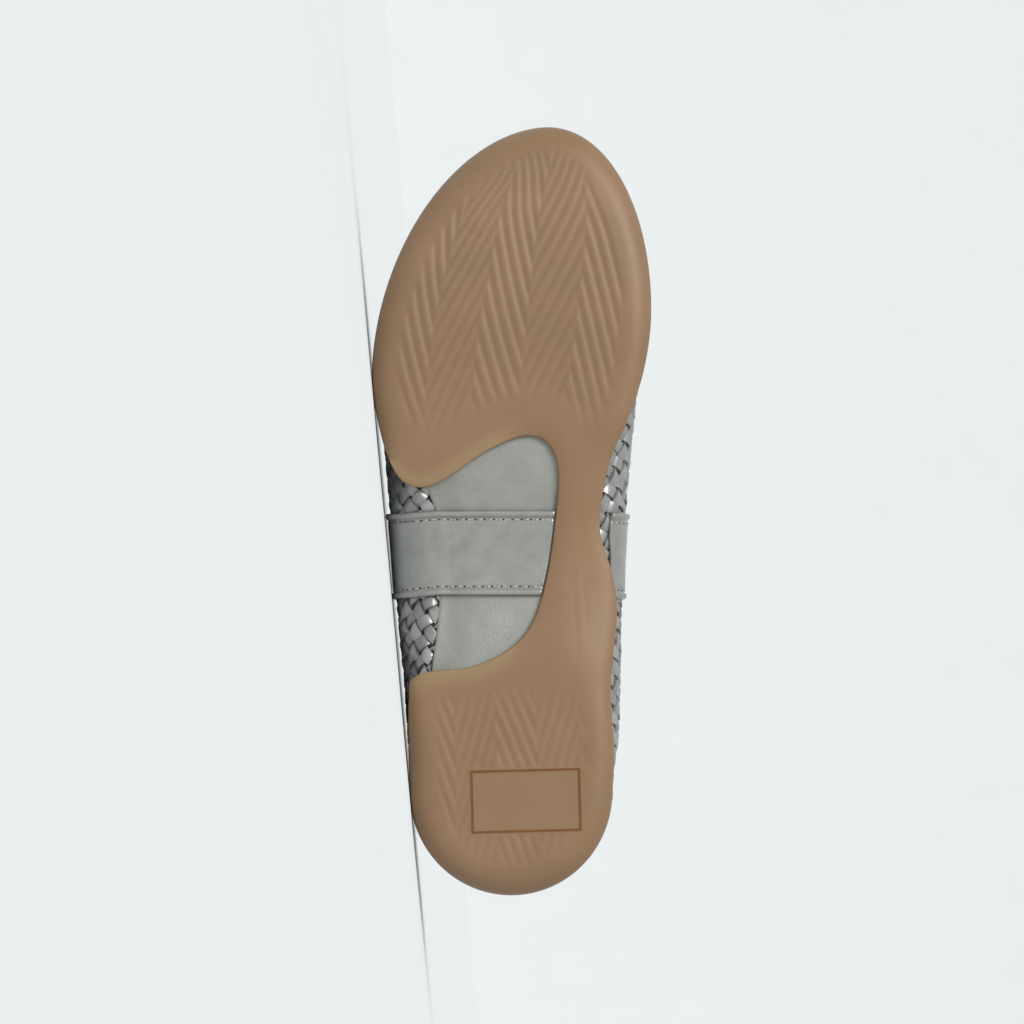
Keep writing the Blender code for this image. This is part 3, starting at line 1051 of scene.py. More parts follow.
def add_piece(
    name: str, points: Array, faces: Sequence[Face], material: bpy.types.Material
) -> bpy.types.Object:
    """Closed, smooth-shaded mesh object from points of the shoe's frame.

    Args:
        name: name of the piece.
        points: points in millimetres.
        faces: point numbers of each face.
        material: its finish.

    Returns:
        The new object, at the origin of the row frame and selected, with its faces outward.
    """
    mesh = bpy.data.meshes.new(name)
    mesh.from_pydata(REST.place_points(points).tolist(), [], faces)
    mesh.validate()
    mesh.materials.append(material)
    piece = bpy.data.objects.new(name, mesh)
    bpy.context.scene.collection.objects.link(piece)
    face_outward(piece)
    bpy.ops.object.shade_smooth()
    return piece


def finish_piece(piece: bpy.types.Object, slot: str, *nodes: str) -> None:
    """Ride a piece on the shoe and let it stand for solids.

    Args:
        piece: the finished object.
        slot: material slot of the record; not used.
        nodes: solids that it stands for.
    """
    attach(piece, "root")
    if nodes:
        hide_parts(*nodes)
    piece.data.calc_loop_triangles()
    LOG.info("%s: %d triangles", piece.name, len(piece.data.loop_triangles))


def shade_points(piece: bpy.types.Object, name: str, values: Array) -> None:
    """Give each point of a piece a value that its finish reads by this name."""
    attribute = piece.data.attributes.new(name, "FLOAT", "POINT")
    attribute.data.foreach_set("value", values.astype(np.float32))


def bridge(near: int, far: int, rows: int, close: bool = False) -> list[Face]:
    """Quads between two lines of points, open or closed, that start at these point numbers."""
    steps = [(r, (r + 1) % rows) for r in range(rows if close else rows - 1)]
    return [(near + r, far + r, far + up, near + up) for r, up in steps]


def strip_faces(
    columns: int, rows: int, first: int = 0, wrap: bool = False, close: bool = False
) -> list[Face]:
    """Quads of a grid stored by columns; wrap joins the last one to the first, close each one."""
    starts = [first + c * rows for c in range(columns)] + [first] * wrap
    return [quad for pair in zip(starts, starts[1:]) for quad in bridge(*pair, rows, close)]


def plate_faces(columns: int, rows: int, wrap: bool = False) -> list[Face]:
    """Faces of a closed plate: two grids, stored one after the other, and the walls between them.

    Args:
        columns: number of columns in each grid.
        rows: points in each column.
        wrap: whether the last column joins the first, which leaves walls at the rows' ends only.

    Returns:
        Point numbers of each face, those of the first grid first.
    """
    count = columns * rows
    grid = np.arange(count).reshape(columns, rows)
    faces = strip_faces(columns, rows, wrap=wrap)
    faces += [face[::-1] for face in strip_faces(columns, rows, count, wrap)]
    borders = [grid[:, 0], grid[:, -1]]
    if wrap:
        borders = [np.append(border, border[0]) for border in borders]
    else:
        borders += [grid[0], grid[-1]]
    for border in borders:
        for a, b in zip(border.tolist(), border[1:].tolist()):
            faces.append((a, b, b + count, a + count))
    return faces


def tube_faces(columns: int, rows: int, first: int = 0) -> list[Face]:
    """Faces of a closed tube with capped ends, whose rings of points are stored one by one.

    Args:
        columns: number of rings.
        rows: points in each ring.
        first: number of the first point.

    Returns:
        Point numbers of each face.
    """
    ring = np.arange(first, first + rows)
    caps = [tuple(ring.tolist()), tuple((ring[::-1] + (columns - 1) * rows).tolist())]
    return strip_faces(columns, rows, first, close=True) + caps


class Columns(NamedTuple):
    """Row of the herringbone: where its peaks and valleys lie across the sole."""

    along: float
    lateral_peak: float
    lateral_valley: float
    inner_peak: float
    middle_valley: float
    medial_peak: float
    medial_valley: float
    outer_peak: float


@dataclass(frozen=True)
class Herringbone:
    """Ridges that zigzag across the tread between curved lines of valleys and peaks."""

    arm: float = 39.4
    pitch: float = 10.2
    start: float = 4.9
    columns: tuple[Columns, ...] = table(
        Columns, (0, -31.5, -18, -4.2, 9.4, 22.5, 36, 50),
        (60, -32, -18.3, -5.6, 8.2, 21.8, 35.5, 49), (140, -42, -27.3, -14, -0.5, 15, 29, 43),
        (160, -42.5, -27.5, -12.9, 2.6, 17.6, 31.8, 46),
        (180, -40, -25.4, -11, 4.4, 20.2, 34.4, 48.5),
        (200, -35.5, -21.8, -7.6, 6.6, 22.6, 36.8, 51),
        (220, -28.5, -15.9, -3.7, 9.2, 24.3, 38.8, 53), (240, -19, -8, 1.8, 12.4, 23.8, 36, 50),
    )

    def phase(self, plan: Array) -> Array:
        """Count ridges: whole numbers lie on ridges.

        Args:
            plan: plan points.

        Returns:
            One count for each point.
        """
        lines = [smooth(self.columns, name, plan[:, 0]) for name in Columns._fields[1:]]
        climb = np.ones(len(plan))
        for k, (near, far) in enumerate(zip(lines, lines[1:])):
            share = (plan[:, 1] - near) / (far - near)
            here = (share >= 0) & (share < 1)
            climb[here] = (share if k % 2 else 1 - share)[here]
        return (plan[:, 0] - self.start - self.arm * climb) / self.pitch


@dataclass
class Outsole:
    """Moulded gum outsole with a rolled edge, herringbone tread and a lateral cut-out."""

    last: Last
    finishes: Finishes
    rim_full: float = 12.0
    edge_round: float = 9.5
    edge_least: float = 7.0
    edge_share: float = 0.62
    edge_power: float = 2.4
    rim_lean: float = 0.5
    rim_wall: float = 1.5
    rim_draft: float = 0.4
    rim_soft: float = 0.5
    cut_round: float = 0.7
    waist_roll: float = 11.0
    waist_from: tuple[float, float] = (56.0, 86.0)
    waist_to: tuple[float, float] = (130.0, 158.0)
    arch_drop: float = 0.65
    arch_wide: float = 7.5
    arch_across: tuple[float, float] = (-6.0, 8.0)
    # Painted light: the gum is painted paler along the cut-out's edge, for light shining through
    # the rubber, and across the medial waist, for a highlight.
    painted_light_reach: tuple[float, float] = (1.0, 8.0)
    painted_light_waist: float = 0.5
    painted_light_medial: tuple[float, float] = (11.0, 20.0)
    painted_light_rim: tuple[float, float] = (25.0, 33.0)
    outline_points: int = 1400
    loop_spacing: float = 0.85
    corner_passes: int = 14
    blend_passes: int = 60
    ring_insets: tuple[float, ...] = (0.12, 0.35, 0.7, 1.15, 1.75, 2.5, 3.4, 4.5, 5.8, 7.3, 9.0)
    grid_spacing: float = 0.64
    cap_spacing: float = 4.0
    groove_depth: float = 0.345
    groove_power: float = 1.4
    heel_share: float = 0.7
    heel_low_fade: tuple[float, float] = (-6.0, 22.0)
    toe_fade: tuple[float, float] = (210.0, 270.0)
    fore_fade: tuple[float, float] = (5.5, 10.5)
    heel_fade: tuple[float, float] = (6.0, 13.0)
    fore_cut_fade: tuple[float, float] = (11.0, 17.0)
    heel_cut_fade: tuple[float, float] = (6.0, 10.0)
    herringbone: Herringbone = Herringbone()
    fore_from: tuple[float, float] = (134.0, 172.0)
    heel_to: tuple[float, float] = (70.0, 60.0)
    badge_centre: Spot = Spot(31.2, 4.8)
    badge_size: Spot = Spot(20.4, 35.6)
    badge_turn: float = math.radians(-1.5)
    badge_line: float = 0.8
    badge_clear: float = 1.2
    badge_stand: float = 0.1
    cut_share: tuple[float, float] = (0.2, 0.8)
    ring_keep: float = 0.97
    weld: float = 1e-5
    rim_start: float = 0.6
    # Over the rim: how much of its wall is crossed, and how much of its soft edge lies above.
    rim_section: tuple[tuple[float, float], ...] = (
        (0, 1), (0.15, 0.25), (0.4, 0), (0.8, 0), (1, 0.4),
    )
    flow_lines: tuple[Crease, ...] = table(
        Crease, ((132, 21), (70, 26), 0.09, 0.9), ((128, 23.6), (74, 28.6), 0.07, 0.8),
        ((124, 18), (68, 22.6), 0.08, 1),
    )

    def loop(self) -> tuple[Array, Array, Array]:
        """Closed edge of the sole in plan, cut-out included.

        Returns:
            The loop, the rim height at each point, and how far each point belongs to the cut-out.
        """
        turn = turns(self.outline_points)
        edge = self.last.sole_edge.around(turn)
        rim = by_side(self.last.rim, edge[:, 0], turn)
        cut = self.last.cutout_loop()
        gone = inside_loop(edge, cut)
        kept_cut = cut[inside_loop(cut, edge)]
        first = int(np.argmax(gone))
        last_gone = len(gone) - int(np.argmax(gone[::-1]))
        outer = np.column_stack((edge, rim, np.zeros(len(edge))))
        flat = self.last.floor - self.last.sag(kept_cut)
        inner = np.column_stack((kept_cut, flat, np.ones(len(kept_cut))))
        whole = even_loop(np.vstack((outer[:first], inner, outer[last_gone:])), self.loop_spacing)
        plan = soften_loop(whole[:, :2], self.corner_passes)
        rest = soften_loop(whole[:, 2:], self.blend_passes)
        return plan, rest[:, 0], ease(rest[:, 1], *self.cut_share)

    def tread_mask(self, plan: Array, from_edge: Array, from_cut: Array) -> Array:
        """Strength of the herringbone at plan points.

        Args:
            plan: plan points of the tread.
            from_edge: their distance to the sole's outer edge.
            from_cut: their distance to the cut-out.

        Returns:
            A share from 0 to 1 for each point.
        """
        fore = ease(from_edge, *self.fore_fade) * ease(plan[:, 0], *self.fore_from)
        heel = ease(from_edge, *self.heel_fade) * ease(-plan[:, 0], *(-x for x in self.heel_to))
        fore *= ease(from_cut, *self.fore_cut_fade) * (1 - ease(plan[:, 0], *self.toe_fade))
        heel *= ease(from_cut, *self.heel_cut_fade) * ease(plan[:, 0], *self.heel_low_fade)
        x, y = self.badge_place(plan)
        field_edge = np.maximum(
            np.abs(x) - self.badge_size.along / 2, np.abs(y) - self.badge_size.across / 2
        )
        return fore + self.heel_share * heel * ease(field_edge, 0.0, self.badge_clear)

    def badge_place(self, plan: Array) -> tuple[Array, Array]:
        """Plan points in the frame of the heel's plain inked rectangle.

        Args:
            plan: plan points.

        Returns:
            Their distances along and across from the rectangle's middle.
        """
        c, s = math.cos(self.badge_turn), math.sin(self.badge_turn)
        x, y = plan[:, 0] - self.badge_centre.along, plan[:, 1] - self.badge_centre.across
        return x * c + y * s, y * c - x * s

    def fill(self, loop: Array, within: Array) -> tuple[Array, list[Face]]:
        """Triangles that fill a closed plan loop.

        Args:
            loop: plan points of the loop.
            within: plan points inside it.

        Returns:
            All plan points, those of the loop first, and the triangles.
        """
        edges = [(k, (k + 1) % len(loop)) for k in range(len(loop))]
        corners = [Vector(point) for point in np.vstack((loop, within))]
        points, _, faces, *_ = delaunay_2d_cdt(corners, edges, [], 1, self.weld)
        return np.array([tuple(point) for point in points]), [tuple(face) for face in faces]

    def tread_plan(self, loop: Array) -> tuple[Array, list[Face]]:
        """Plan mesh of the tread: rings along the edge and an even grid inside them.

        Args:
            loop: plan points of the edge.

        Returns:
            Plan points, those of the edge first, and triangles.
        """
        inward = loop_inward(loop)
        rings = []
        for inset in self.ring_insets:
            ring = loop + inward * inset
            reach, _ = loop_distance(ring, loop)
            rings.append(ring[(reach > inset * self.ring_keep) & inside_loop(ring, loop)])
        grid = self.grid_inside(loop, self.grid_spacing, self.ring_insets[-1])
        return self.fill(loop, np.vstack((*rings, grid)))

    def build(self) -> None:
        """Tread with ridges, rolled edges, rim and the heel's plain rectangle."""
        loop, rim, cut = self.loop()
        count = len(loop)
        plan, faces = self.tread_plan(loop)
        order = np.roll(np.arange(count), -1 - np.flatnonzero(cut > 0.5)[-1])
        outer, inner = order[cut[order] <= 0.5], order[cut[order] > 0.5]
        waist = window(plan[:, 0], self.waist_from, self.waist_to)
        wide = np.maximum(self.edge_round * rim / self.rim_full, self.edge_least)
        wide += self.waist_roll * waist[:count] * (loop[:, 1] > 0)
        roll = np.maximum(
            self.rolled(plan, loop[outer], wide[outer], self.edge_share * rim[outer]),
            self.rolled(plan, loop[inner], *np.full((2, len(inner)), self.cut_round)),
        )
        outer_edge = self.last.from_edge(plan, self.last.sole_edge)
        from_cut, _ = loop_distance(plan, loop[inner], closed=False)
        arch = ease(plan[:, 1], *self.arch_across)
        roll += self.arch_drop * arch * np.clip(1 - from_cut / self.arch_wide, 0, 1) ** 2
        swell = 0.5 + 0.5 * np.cos(2 * math.pi * self.herringbone.phase(plan))
        groove = self.groove_depth * (1 - swell) ** self.groove_power
        ridges = groove * self.tread_mask(plan, outer_edge, from_cut)
        flow = press(plan, self.flow_lines)
        points = [self.last.raised(plan, roll + ridges + flow)]

        lean = self.rim_lean * (1 - cut)
        foot = roll[:count]
        top = np.maximum(rim, foot + self.rim_soft)
        profile = [(lean * self.rim_start, (foot + top) / 2)]
        for share, drop in self.rim_section:
            profile.append((lean + share * self.rim_wall, top - drop * self.rim_soft))
        inside = np.minimum(top - self.rim_soft, self.last.floor)
        profile.append((lean + self.rim_wall + self.rim_draft, inside))
        before, here = 0, len(plan)
        for inset, above in profile:
            ring = loop + loop_inward(loop) * inset[:, None]
            points.append(self.last.raised(ring, above))
            faces += bridge(before, here, count, close=True)
            before, here = here, here + count
        cap = self.grid_inside(ring, self.cap_spacing)
        faces += [tuple(before + k for k in face) for face in self.fill(ring, cap)[1]]
        points.append(self.last.raised(cap, self.last.floor - self.last.sag(cap)))
        sole = add_piece("gum_outsole", np.vstack(points), faces, self.finishes.gum)
        # Painted light: paler colour along the cut edge, for light shining through the rubber, and
        # across the medial waist, for a highlight.
        paler = (1 - arch) * (1 - ease(from_cut, *self.painted_light_reach))
        paler += self.painted_light_waist * waist * window(plan[:, 1], self.painted_light_medial, self.painted_light_rim)
        wall = np.tile(paler[:count], len(profile))
        shade_points(sole, "painted_light", np.concatenate((paler, wall, np.zeros(len(cap)))))
        finish_piece(sole, "gum_rubber", "outsole")
        self.build_badge()

    def rolled(self, plan: Array, edge: Array, wide: Array, tall: Array) -> Array:
        """Rise of the rolled edge at plan points.

        Args:
            plan: plan points of the tread.
            edge: plan points along the edge.
            wide: width of the roll at each edge point.
            tall: rise of the roll at each edge point.

        Returns:
            One rise for each plan point.
        """
        distance, nearest = loop_distance(plan, edge, closed=False)
        t = np.clip(1 - distance / wide[nearest], 0, 1)
        return tall[nearest] * (1 - np.sqrt(1 - t**self.edge_power))

    @staticmethod
    def grid_inside(loop: Array, spacing: float, clear: float = 0.0) -> Array:
        """Triangular grid of plan points inside a closed loop.

        Args:
            loop: plan points of the loop.
            spacing: distance between the points.
            clear: how far they stay off the loop, besides half the spacing.

        Returns:
            The plan points.
        """
        low, high = loop.min(0), loop.max(0)
        across = np.arange(low[1], high[1], spacing)
        along = np.arange(low[0], high[0], spacing * math.sqrt(3) / 2)
        rows = [(x, across + (k % 2) * spacing / 2) for k, x in enumerate(along)]
        grid = np.vstack([np.column_stack((np.full(len(row), x), row)) for x, row in rows])
        gap, _ = loop_distance(grid, loop)
        return grid[inside_loop(grid, loop) & (gap > clear + spacing / 2)]

    def build_badge(self) -> None:
        """Plain inked rectangle, empty, flush with the heel's tread."""
        bpy.ops.mesh.primitive_plane_add(size=1)
        badge = bpy.context.object
        badge.name = badge.data.name = "heel_inked_rectangle"
        badge.data.transform(
            Matrix.Diagonal((self.badge_size.along * MM, self.badge_size.across * MM, 1, 1))
        )
        bpy.ops.object.mode_set(mode="EDIT")
        bpy.ops.mesh.select_all(action="SELECT")
        bpy.ops.mesh.inset(thickness=self.badge_line * MM)
        bpy.ops.mesh.delete(type="FACE")
        bpy.ops.mesh.select_all(action="SELECT")
        bpy.ops.mesh.extrude_region_move(
            TRANSFORM_OT_translate={"value": (0, 0, -2 * self.badge_stand * MM)}
        )
        bpy.ops.object.mode_set(mode="OBJECT")
        face_outward(badge)
        centre = Vector((*self.badge_centre, self.badge_stand)) * MM
        turned = Matrix.Translation(centre) @ Matrix.Rotation(self.badge_turn, 4, "Z")
        badge.data.transform(REST.matrix() @ turned)
        badge.data.materials.append(self.finishes.gum_line)
        finish_piece(badge, "gum_rubber")


class Pattern(NamedTuple):
    """A small shape that is modelled once and copied: its points and faces."""

    points: Array
    faces: list[Face]

    @classmethod
    def take(cls) -> "Pattern":
        """Take the points and faces of the object just modelled, and remove that object.

        Returns:
            The shape.
        """
        shape = bpy.context.object
        points = np.array([vertex.co[:] for vertex in shape.data.vertices])
        faces = [tuple(face.vertices) for face in shape.data.polygons]
        bpy.data.meshes.remove(shape.data)
        return cls(points, faces)


@dataclass
class Stitching:
    """Rows of short thread stitches, sunk a little into the leather, and their needle holes."""

    thread: bpy.types.Material
    # Finish of the needle holes: near black, painted shade.
    hole: bpy.types.Material
    pitch: float = 3.0
    length: float = 2.3
    radius: float = 0.3
    bow: float = 0.16
    hole_radius: float = 0.34
    hole_stand: float = 0.06
    hole_depth: float = 0.4
    sides: int = 6

    def model_stitch(self) -> Pattern:
        """One stitch: a long slender bead with both ends bent down into the leather.

        Returns:
            Its shape, with its length on x and its outward side on z.
        """
        bpy.ops.mesh.primitive_uv_sphere_add(segments=self.sides, ring_count=self.sides, radius=1.0)
        bpy.ops.transform.rotate(value=math.radians(90), orient_axis="Y", center_override=(0, 0, 0))
        bpy.ops.transform.resize(value=(self.length / 2, self.radius, self.radius))
        bpy.ops.object.transform_apply()
        stitch = Pattern.take()
        stitch.points[:, 2] -= self.bow * (2 * stitch.points[:, 0] / self.length) ** 2
        return stitch

    def model_hole(self) -> Pattern:
        """One needle hole: a cone with its flat mouth just proud of the leather, dark as painted
        shade in the hole.

        Returns:
            Its shape, with its mouth toward z.
        """
        bpy.ops.mesh.primitive_cone_add(
            vertices=self.sides,
            radius1=0.0,
            radius2=self.hole_radius,
            depth=self.hole_depth,
            location=(0, 0, self.hole_stand - self.hole_depth / 2),
        )
        bpy.ops.object.transform_apply()
        return Pattern.take()

    def build(self, name: str, rows: Sequence[tuple[Array, Array]], slot: str) -> None:
        """Join all stitches and holes of some rows in one piece.

        Args:
            name: name of the piece.
            rows: pairs of path points and their outward normals.
            slot: material slot of the record.
        """
        stitch, hole = self.model_stitch(), self.model_hole()
        points: list[Array] = []
        faces: list[Face] = []
        holes: list[int] = []
        count = 0
        for path, normals in rows:
            run = run_along(path)
            for middle in np.arange(self.pitch, run[-1] - self.pitch / 2, self.pitch):
                for shape, at in ((stitch, middle), (hole, middle + self.pitch / 2)):
                    if shape is hole:
                        holes.extend(range(len(faces), len(faces) + len(hole.faces)))
                    faces.extend(tuple(count + k for k in face) for face in shape.faces)
                    points.append(self.set_down(shape, path, normals, run, at))
                    count += len(shape.points)
        piece = add_piece(name, np.vstack(points), faces, self.thread)
        piece.data.materials.append(self.hole)
        for face in holes:
            piece.data.polygons[face].material_index = 1
        finish_piece(piece, slot)

    def set_down(self, shape: Pattern, path: Array, normals: Array, run: Array, at: float) -> Array:
        """Points of a copy set on its row, turned along it.

        Args:
            shape: the stitch or hole, its length on x and its outward side on z.
            path: points of the row.
            normals: outward normals of the row.
            run: length along the row at each point.
            at: length along the row at the copy's middle.

        Returns:
            Points of the shoe's frame.
        """
        ends = np.array((at - self.length / 2, at, at + self.length / 2))
        back, centre, front = np.column_stack([np.interp(ends, run, axis) for axis in path.T])
        out = np.array([np.interp(at, run, axis) for axis in normals.T])
        forward = (front - back) / np.linalg.norm(front - back)
        aside = np.cross(out, forward)
        return centre + shape.points @ np.array((forward, aside, out))


@dataclass
class BottomPanel:
    """Plain leather piece under the foot, which shows in the outsole's cut-out."""

    last: Last
    surface: Surface
    finishes: Finishes
    thick: float = 1.4
    stations: int = 200
    across: int = 56
    edge_soft: float = 0.35
    waist_lap: float = 0.9
    waist_tuck: tuple[float, float] = (0.3, 1.0)
    creases: tuple[Crease, ...] = table(
        Crease, ((146, -1), (127, -3), 0.26, 1.9), ((141, 8), (126, 5), -0.2, 2.4),
        ((135, -20), (126, -8), 0.34, 2.2), ((132, 0), (124, 11), 0.26, 1.9),
        ((96, -17), (83, -7), 0.34, 2.2), ((95, -4), (79, -12), -0.26, 2.6),
        ((93, 5), (81, -4), 0.28, 1.9), ((89, -20), (76, -17), 0.24, 2.2),
    )

    def loop(self) -> Array:
        """Plan loop of the panel, just inside the upper's wall.

        Returns:
            Plan points from the heel round the lateral side.
        """
        share = np.arange(2 * self.stations) / (2 * self.stations)
        foot = self.surface.at(share, np.zeros(len(share)), -self.last.wall)[:, :2]
        bare = by_side(self.last.tuck, foot[:, 0], share * 2 * math.pi)
        inset = self.last.fit_gap - self.waist_lap * ease(bare, *self.waist_tuck)
        return foot + loop_inward(foot) * inset[:, None]

    def build(self) -> None:
        """Plate with a creased underside and softly rounded edges."""
        loop = self.loop()
        lateral, medial = loop[1 : self.stations], loop[: self.stations : -1]
        low = self.last.floor + self.last.fit_gap
        share = (1 - np.cos(np.linspace(0, math.pi, self.across))) / 2
        plan = lateral[:, None] + (medial - lateral)[:, None] * share[None, :, None]
        flat = plan.reshape(-1, 2)
        width = np.linalg.norm(medial - lateral, axis=1)
        inset = np.minimum(share, 1 - share)[None, :] * width[:, None]
        soft = self.edge_soft * (1 - ease(inset, 0.0, 2 * self.edge_soft)).reshape(-1)
        under = self.last.raised(flat, low + soft + press(flat, self.creases) - self.last.sag(flat))
        points = np.vstack((under, self.last.raised(flat, low + self.thick)))
        faces = plate_faces(len(lateral), self.across)
        panel = add_piece("leather_bottom_panel", points, faces, self.finishes.panel)
        finish_piece(panel, "plain_leather", "bottom_panel")


@dataclass
class Insole:
    """Cloth-covered sock liner on the bottom panel, softly rounded at its edge."""

    panel: BottomPanel
    finishes: Finishes
    thick: float = 3.0
    round: float = 1.0
    round_segments: int = 3
    corner: float = math.radians(40)

    def build(self) -> None:
        """Plate with bevelled edges."""
        last = self.panel.last
        loop = self.panel.loop()[::2]
        loop = loop + loop_inward(loop) * last.fit_gap
        low = last.floor + 2 * last.fit_gap + self.panel.thick
        count = len(loop)
        points = np.vstack((last.raised(loop, low), last.raised(loop, low + self.thick)))
        faces = bridge(0, count, count, close=True)
        for k in range(count // 2):
            corners = tuple(dict.fromkeys((k, k + 1, count - k - 1, (count - k) % count)))
            faces.append(corners)
            faces.append(tuple(corner + count for corner in corners))
        insole = add_piece("sock_liner", points, faces, self.finishes.insole)
        bevel = insole.modifiers.new("soft_edge", "BEVEL")
        bevel.width = self.round * MM
        bevel.segments = self.round_segments
        bevel.angle_limit = self.corner
        bpy.ops.object.modifier_apply(modifier=bevel.name)
        bpy.ops.object.shade_smooth_by_angle(angle=self.corner)
        finish_piece(insole, "insole_cloth", "insole")


@dataclass
class FlatPattern:
    """The upper's outside laid flat, as a maker would cut it, with a way back onto the shoe."""

    surface: Surface
    columns: int = 170
    rows: int = 34

    def lay_flat(self) -> None:
        """Unwrap the surface, opened at the back of the heel."""
        share = np.linspace(0, 1, self.columns + 1)
        rise = np.linspace(0, 1, self.rows + 1)
        grid_share, grid_rise = every_pair(share, rise)
        points = self.surface.at(grid_share, grid_rise)
        quads = strip_faces(self.columns + 1, self.rows + 1)
        mesh = bpy.data.meshes.new("flat_pattern")
        mesh.from_pydata((points * MM).tolist(), [], quads)
        sheet = bpy.data.objects.new("flat_pattern", mesh)
        bpy.context.scene.collection.objects.link(sheet)
        select_only(sheet)
        bpy.ops.object.mode_set(mode="EDIT")
        bpy.ops.mesh.select_all(action="SELECT")
        bpy.ops.uv.unwrap(method="ANGLE_BASED", margin=0.0)
        bpy.ops.object.mode_set(mode="OBJECT")
        corners = np.empty(len(mesh.loops) * 2, np.float32)
        mesh.uv_layers.active.data.foreach_get("uv", corners)
        owner = np.empty(len(mesh.loops), np.int32)
        mesh.loops.foreach_get("vertex_index", owner)
        flat = np.zeros((len(points), 2))
        flat[owner] = corners.reshape(-1, 2)
        bpy.data.objects.remove(sheet)
        bpy.data.meshes.remove(mesh)

        quad = np.array(quads)
        whole = self.quad_area(np.column_stack((flat, np.zeros(len(flat)))), quad)
        flat *= math.sqrt(self.quad_area(points, quad) / whole)
        toe = flat[(self.columns // 2) * (self.rows + 1)]
        throat = flat[(self.columns // 2) * (self.rows + 1) + self.rows]
        ahead = (toe - throat) / np.linalg.norm(toe - throat)
        flat = (flat - throat) @ np.array(((ahead[0], -ahead[1]), (ahead[1], ahead[0])))
        if np.cross(flat[quad[0, 1]] - flat[quad[0, 0]], flat[quad[0, 3]] - flat[quad[0, 0]]) < 0:
            flat[:, 1] *= -1
        self.flat = flat
        self.param = np.column_stack((grid_share, grid_rise))
        self.triangles = np.vstack((quad[:, [0, 1, 2]], quad[:, [0, 2, 3]]))
        self.tree = BVHTree.FromPolygons(
            [(x, y, 0.0) for x, y in flat], [tuple(t) for t in self.triangles.tolist()]
        )

    @staticmethod
    def quad_area(points: Array, quads: Array) -> float:
        """Summed area of quads.

        Args:
            points: points in space.
            quads: four point numbers for each quad.

        Returns:
            The area.
        """
        across = points[quads[:, 2]] - points[quads[:, 0]]
        other = points[quads[:, 3]] - points[quads[:, 1]]
        return float(np.linalg.norm(np.cross(across, other), axis=1).sum() / 2)

    def back(self, flat: Array) -> tuple[Array, Array, Array]:
        """Places on the shoe of points of the flat pattern.

        Args:
            flat: points of the pattern, in millimetres.

        Returns:
            Share of a turn, rise up the rib, and distance of each point from the pattern.
        """
        share, rise, off = np.empty(len(flat)), np.empty(len(flat)), np.empty(len(flat))
        for k, (x, y) in enumerate(flat):
            near, _, index, gap = self.tree.find_nearest((x, y, 0.0))
            a, b, c = self.triangles[index]
            ab, ac = self.flat[b] - self.flat[a], self.flat[c] - self.flat[a]
            to = np.array((near.x, near.y)) - self.flat[a]
            whole = ab[0] * ac[1] - ab[1] * ac[0]
            v = (to[0] * ac[1] - to[1] * ac[0]) / whole
            w = (ab[0] * to[1] - ab[1] * to[0]) / whole
            place = self.param[a] * (1 - v - w) + self.param[b] * v + self.param[c] * w
            share[k], rise[k], off[k] = place[0], place[1], gap
        return share, rise, off


class Cut(NamedTuple):
    """What is a strip's own: its tone and width, and where it strays and leans."""

    tone: float
    width: float
    stray_phase: float
    lean_phase: float


@dataclass
class Weave:
    """The weave so far: its flat pattern, the vectors across its strips, and the strips' meshes."""

    pattern: FlatPattern
    aside: list[Array]
    points: list[Array] = field(default_factory=list)
    faces: list[Face] = field(default_factory=list)
    tones: list[Array] = field(default_factory=list)


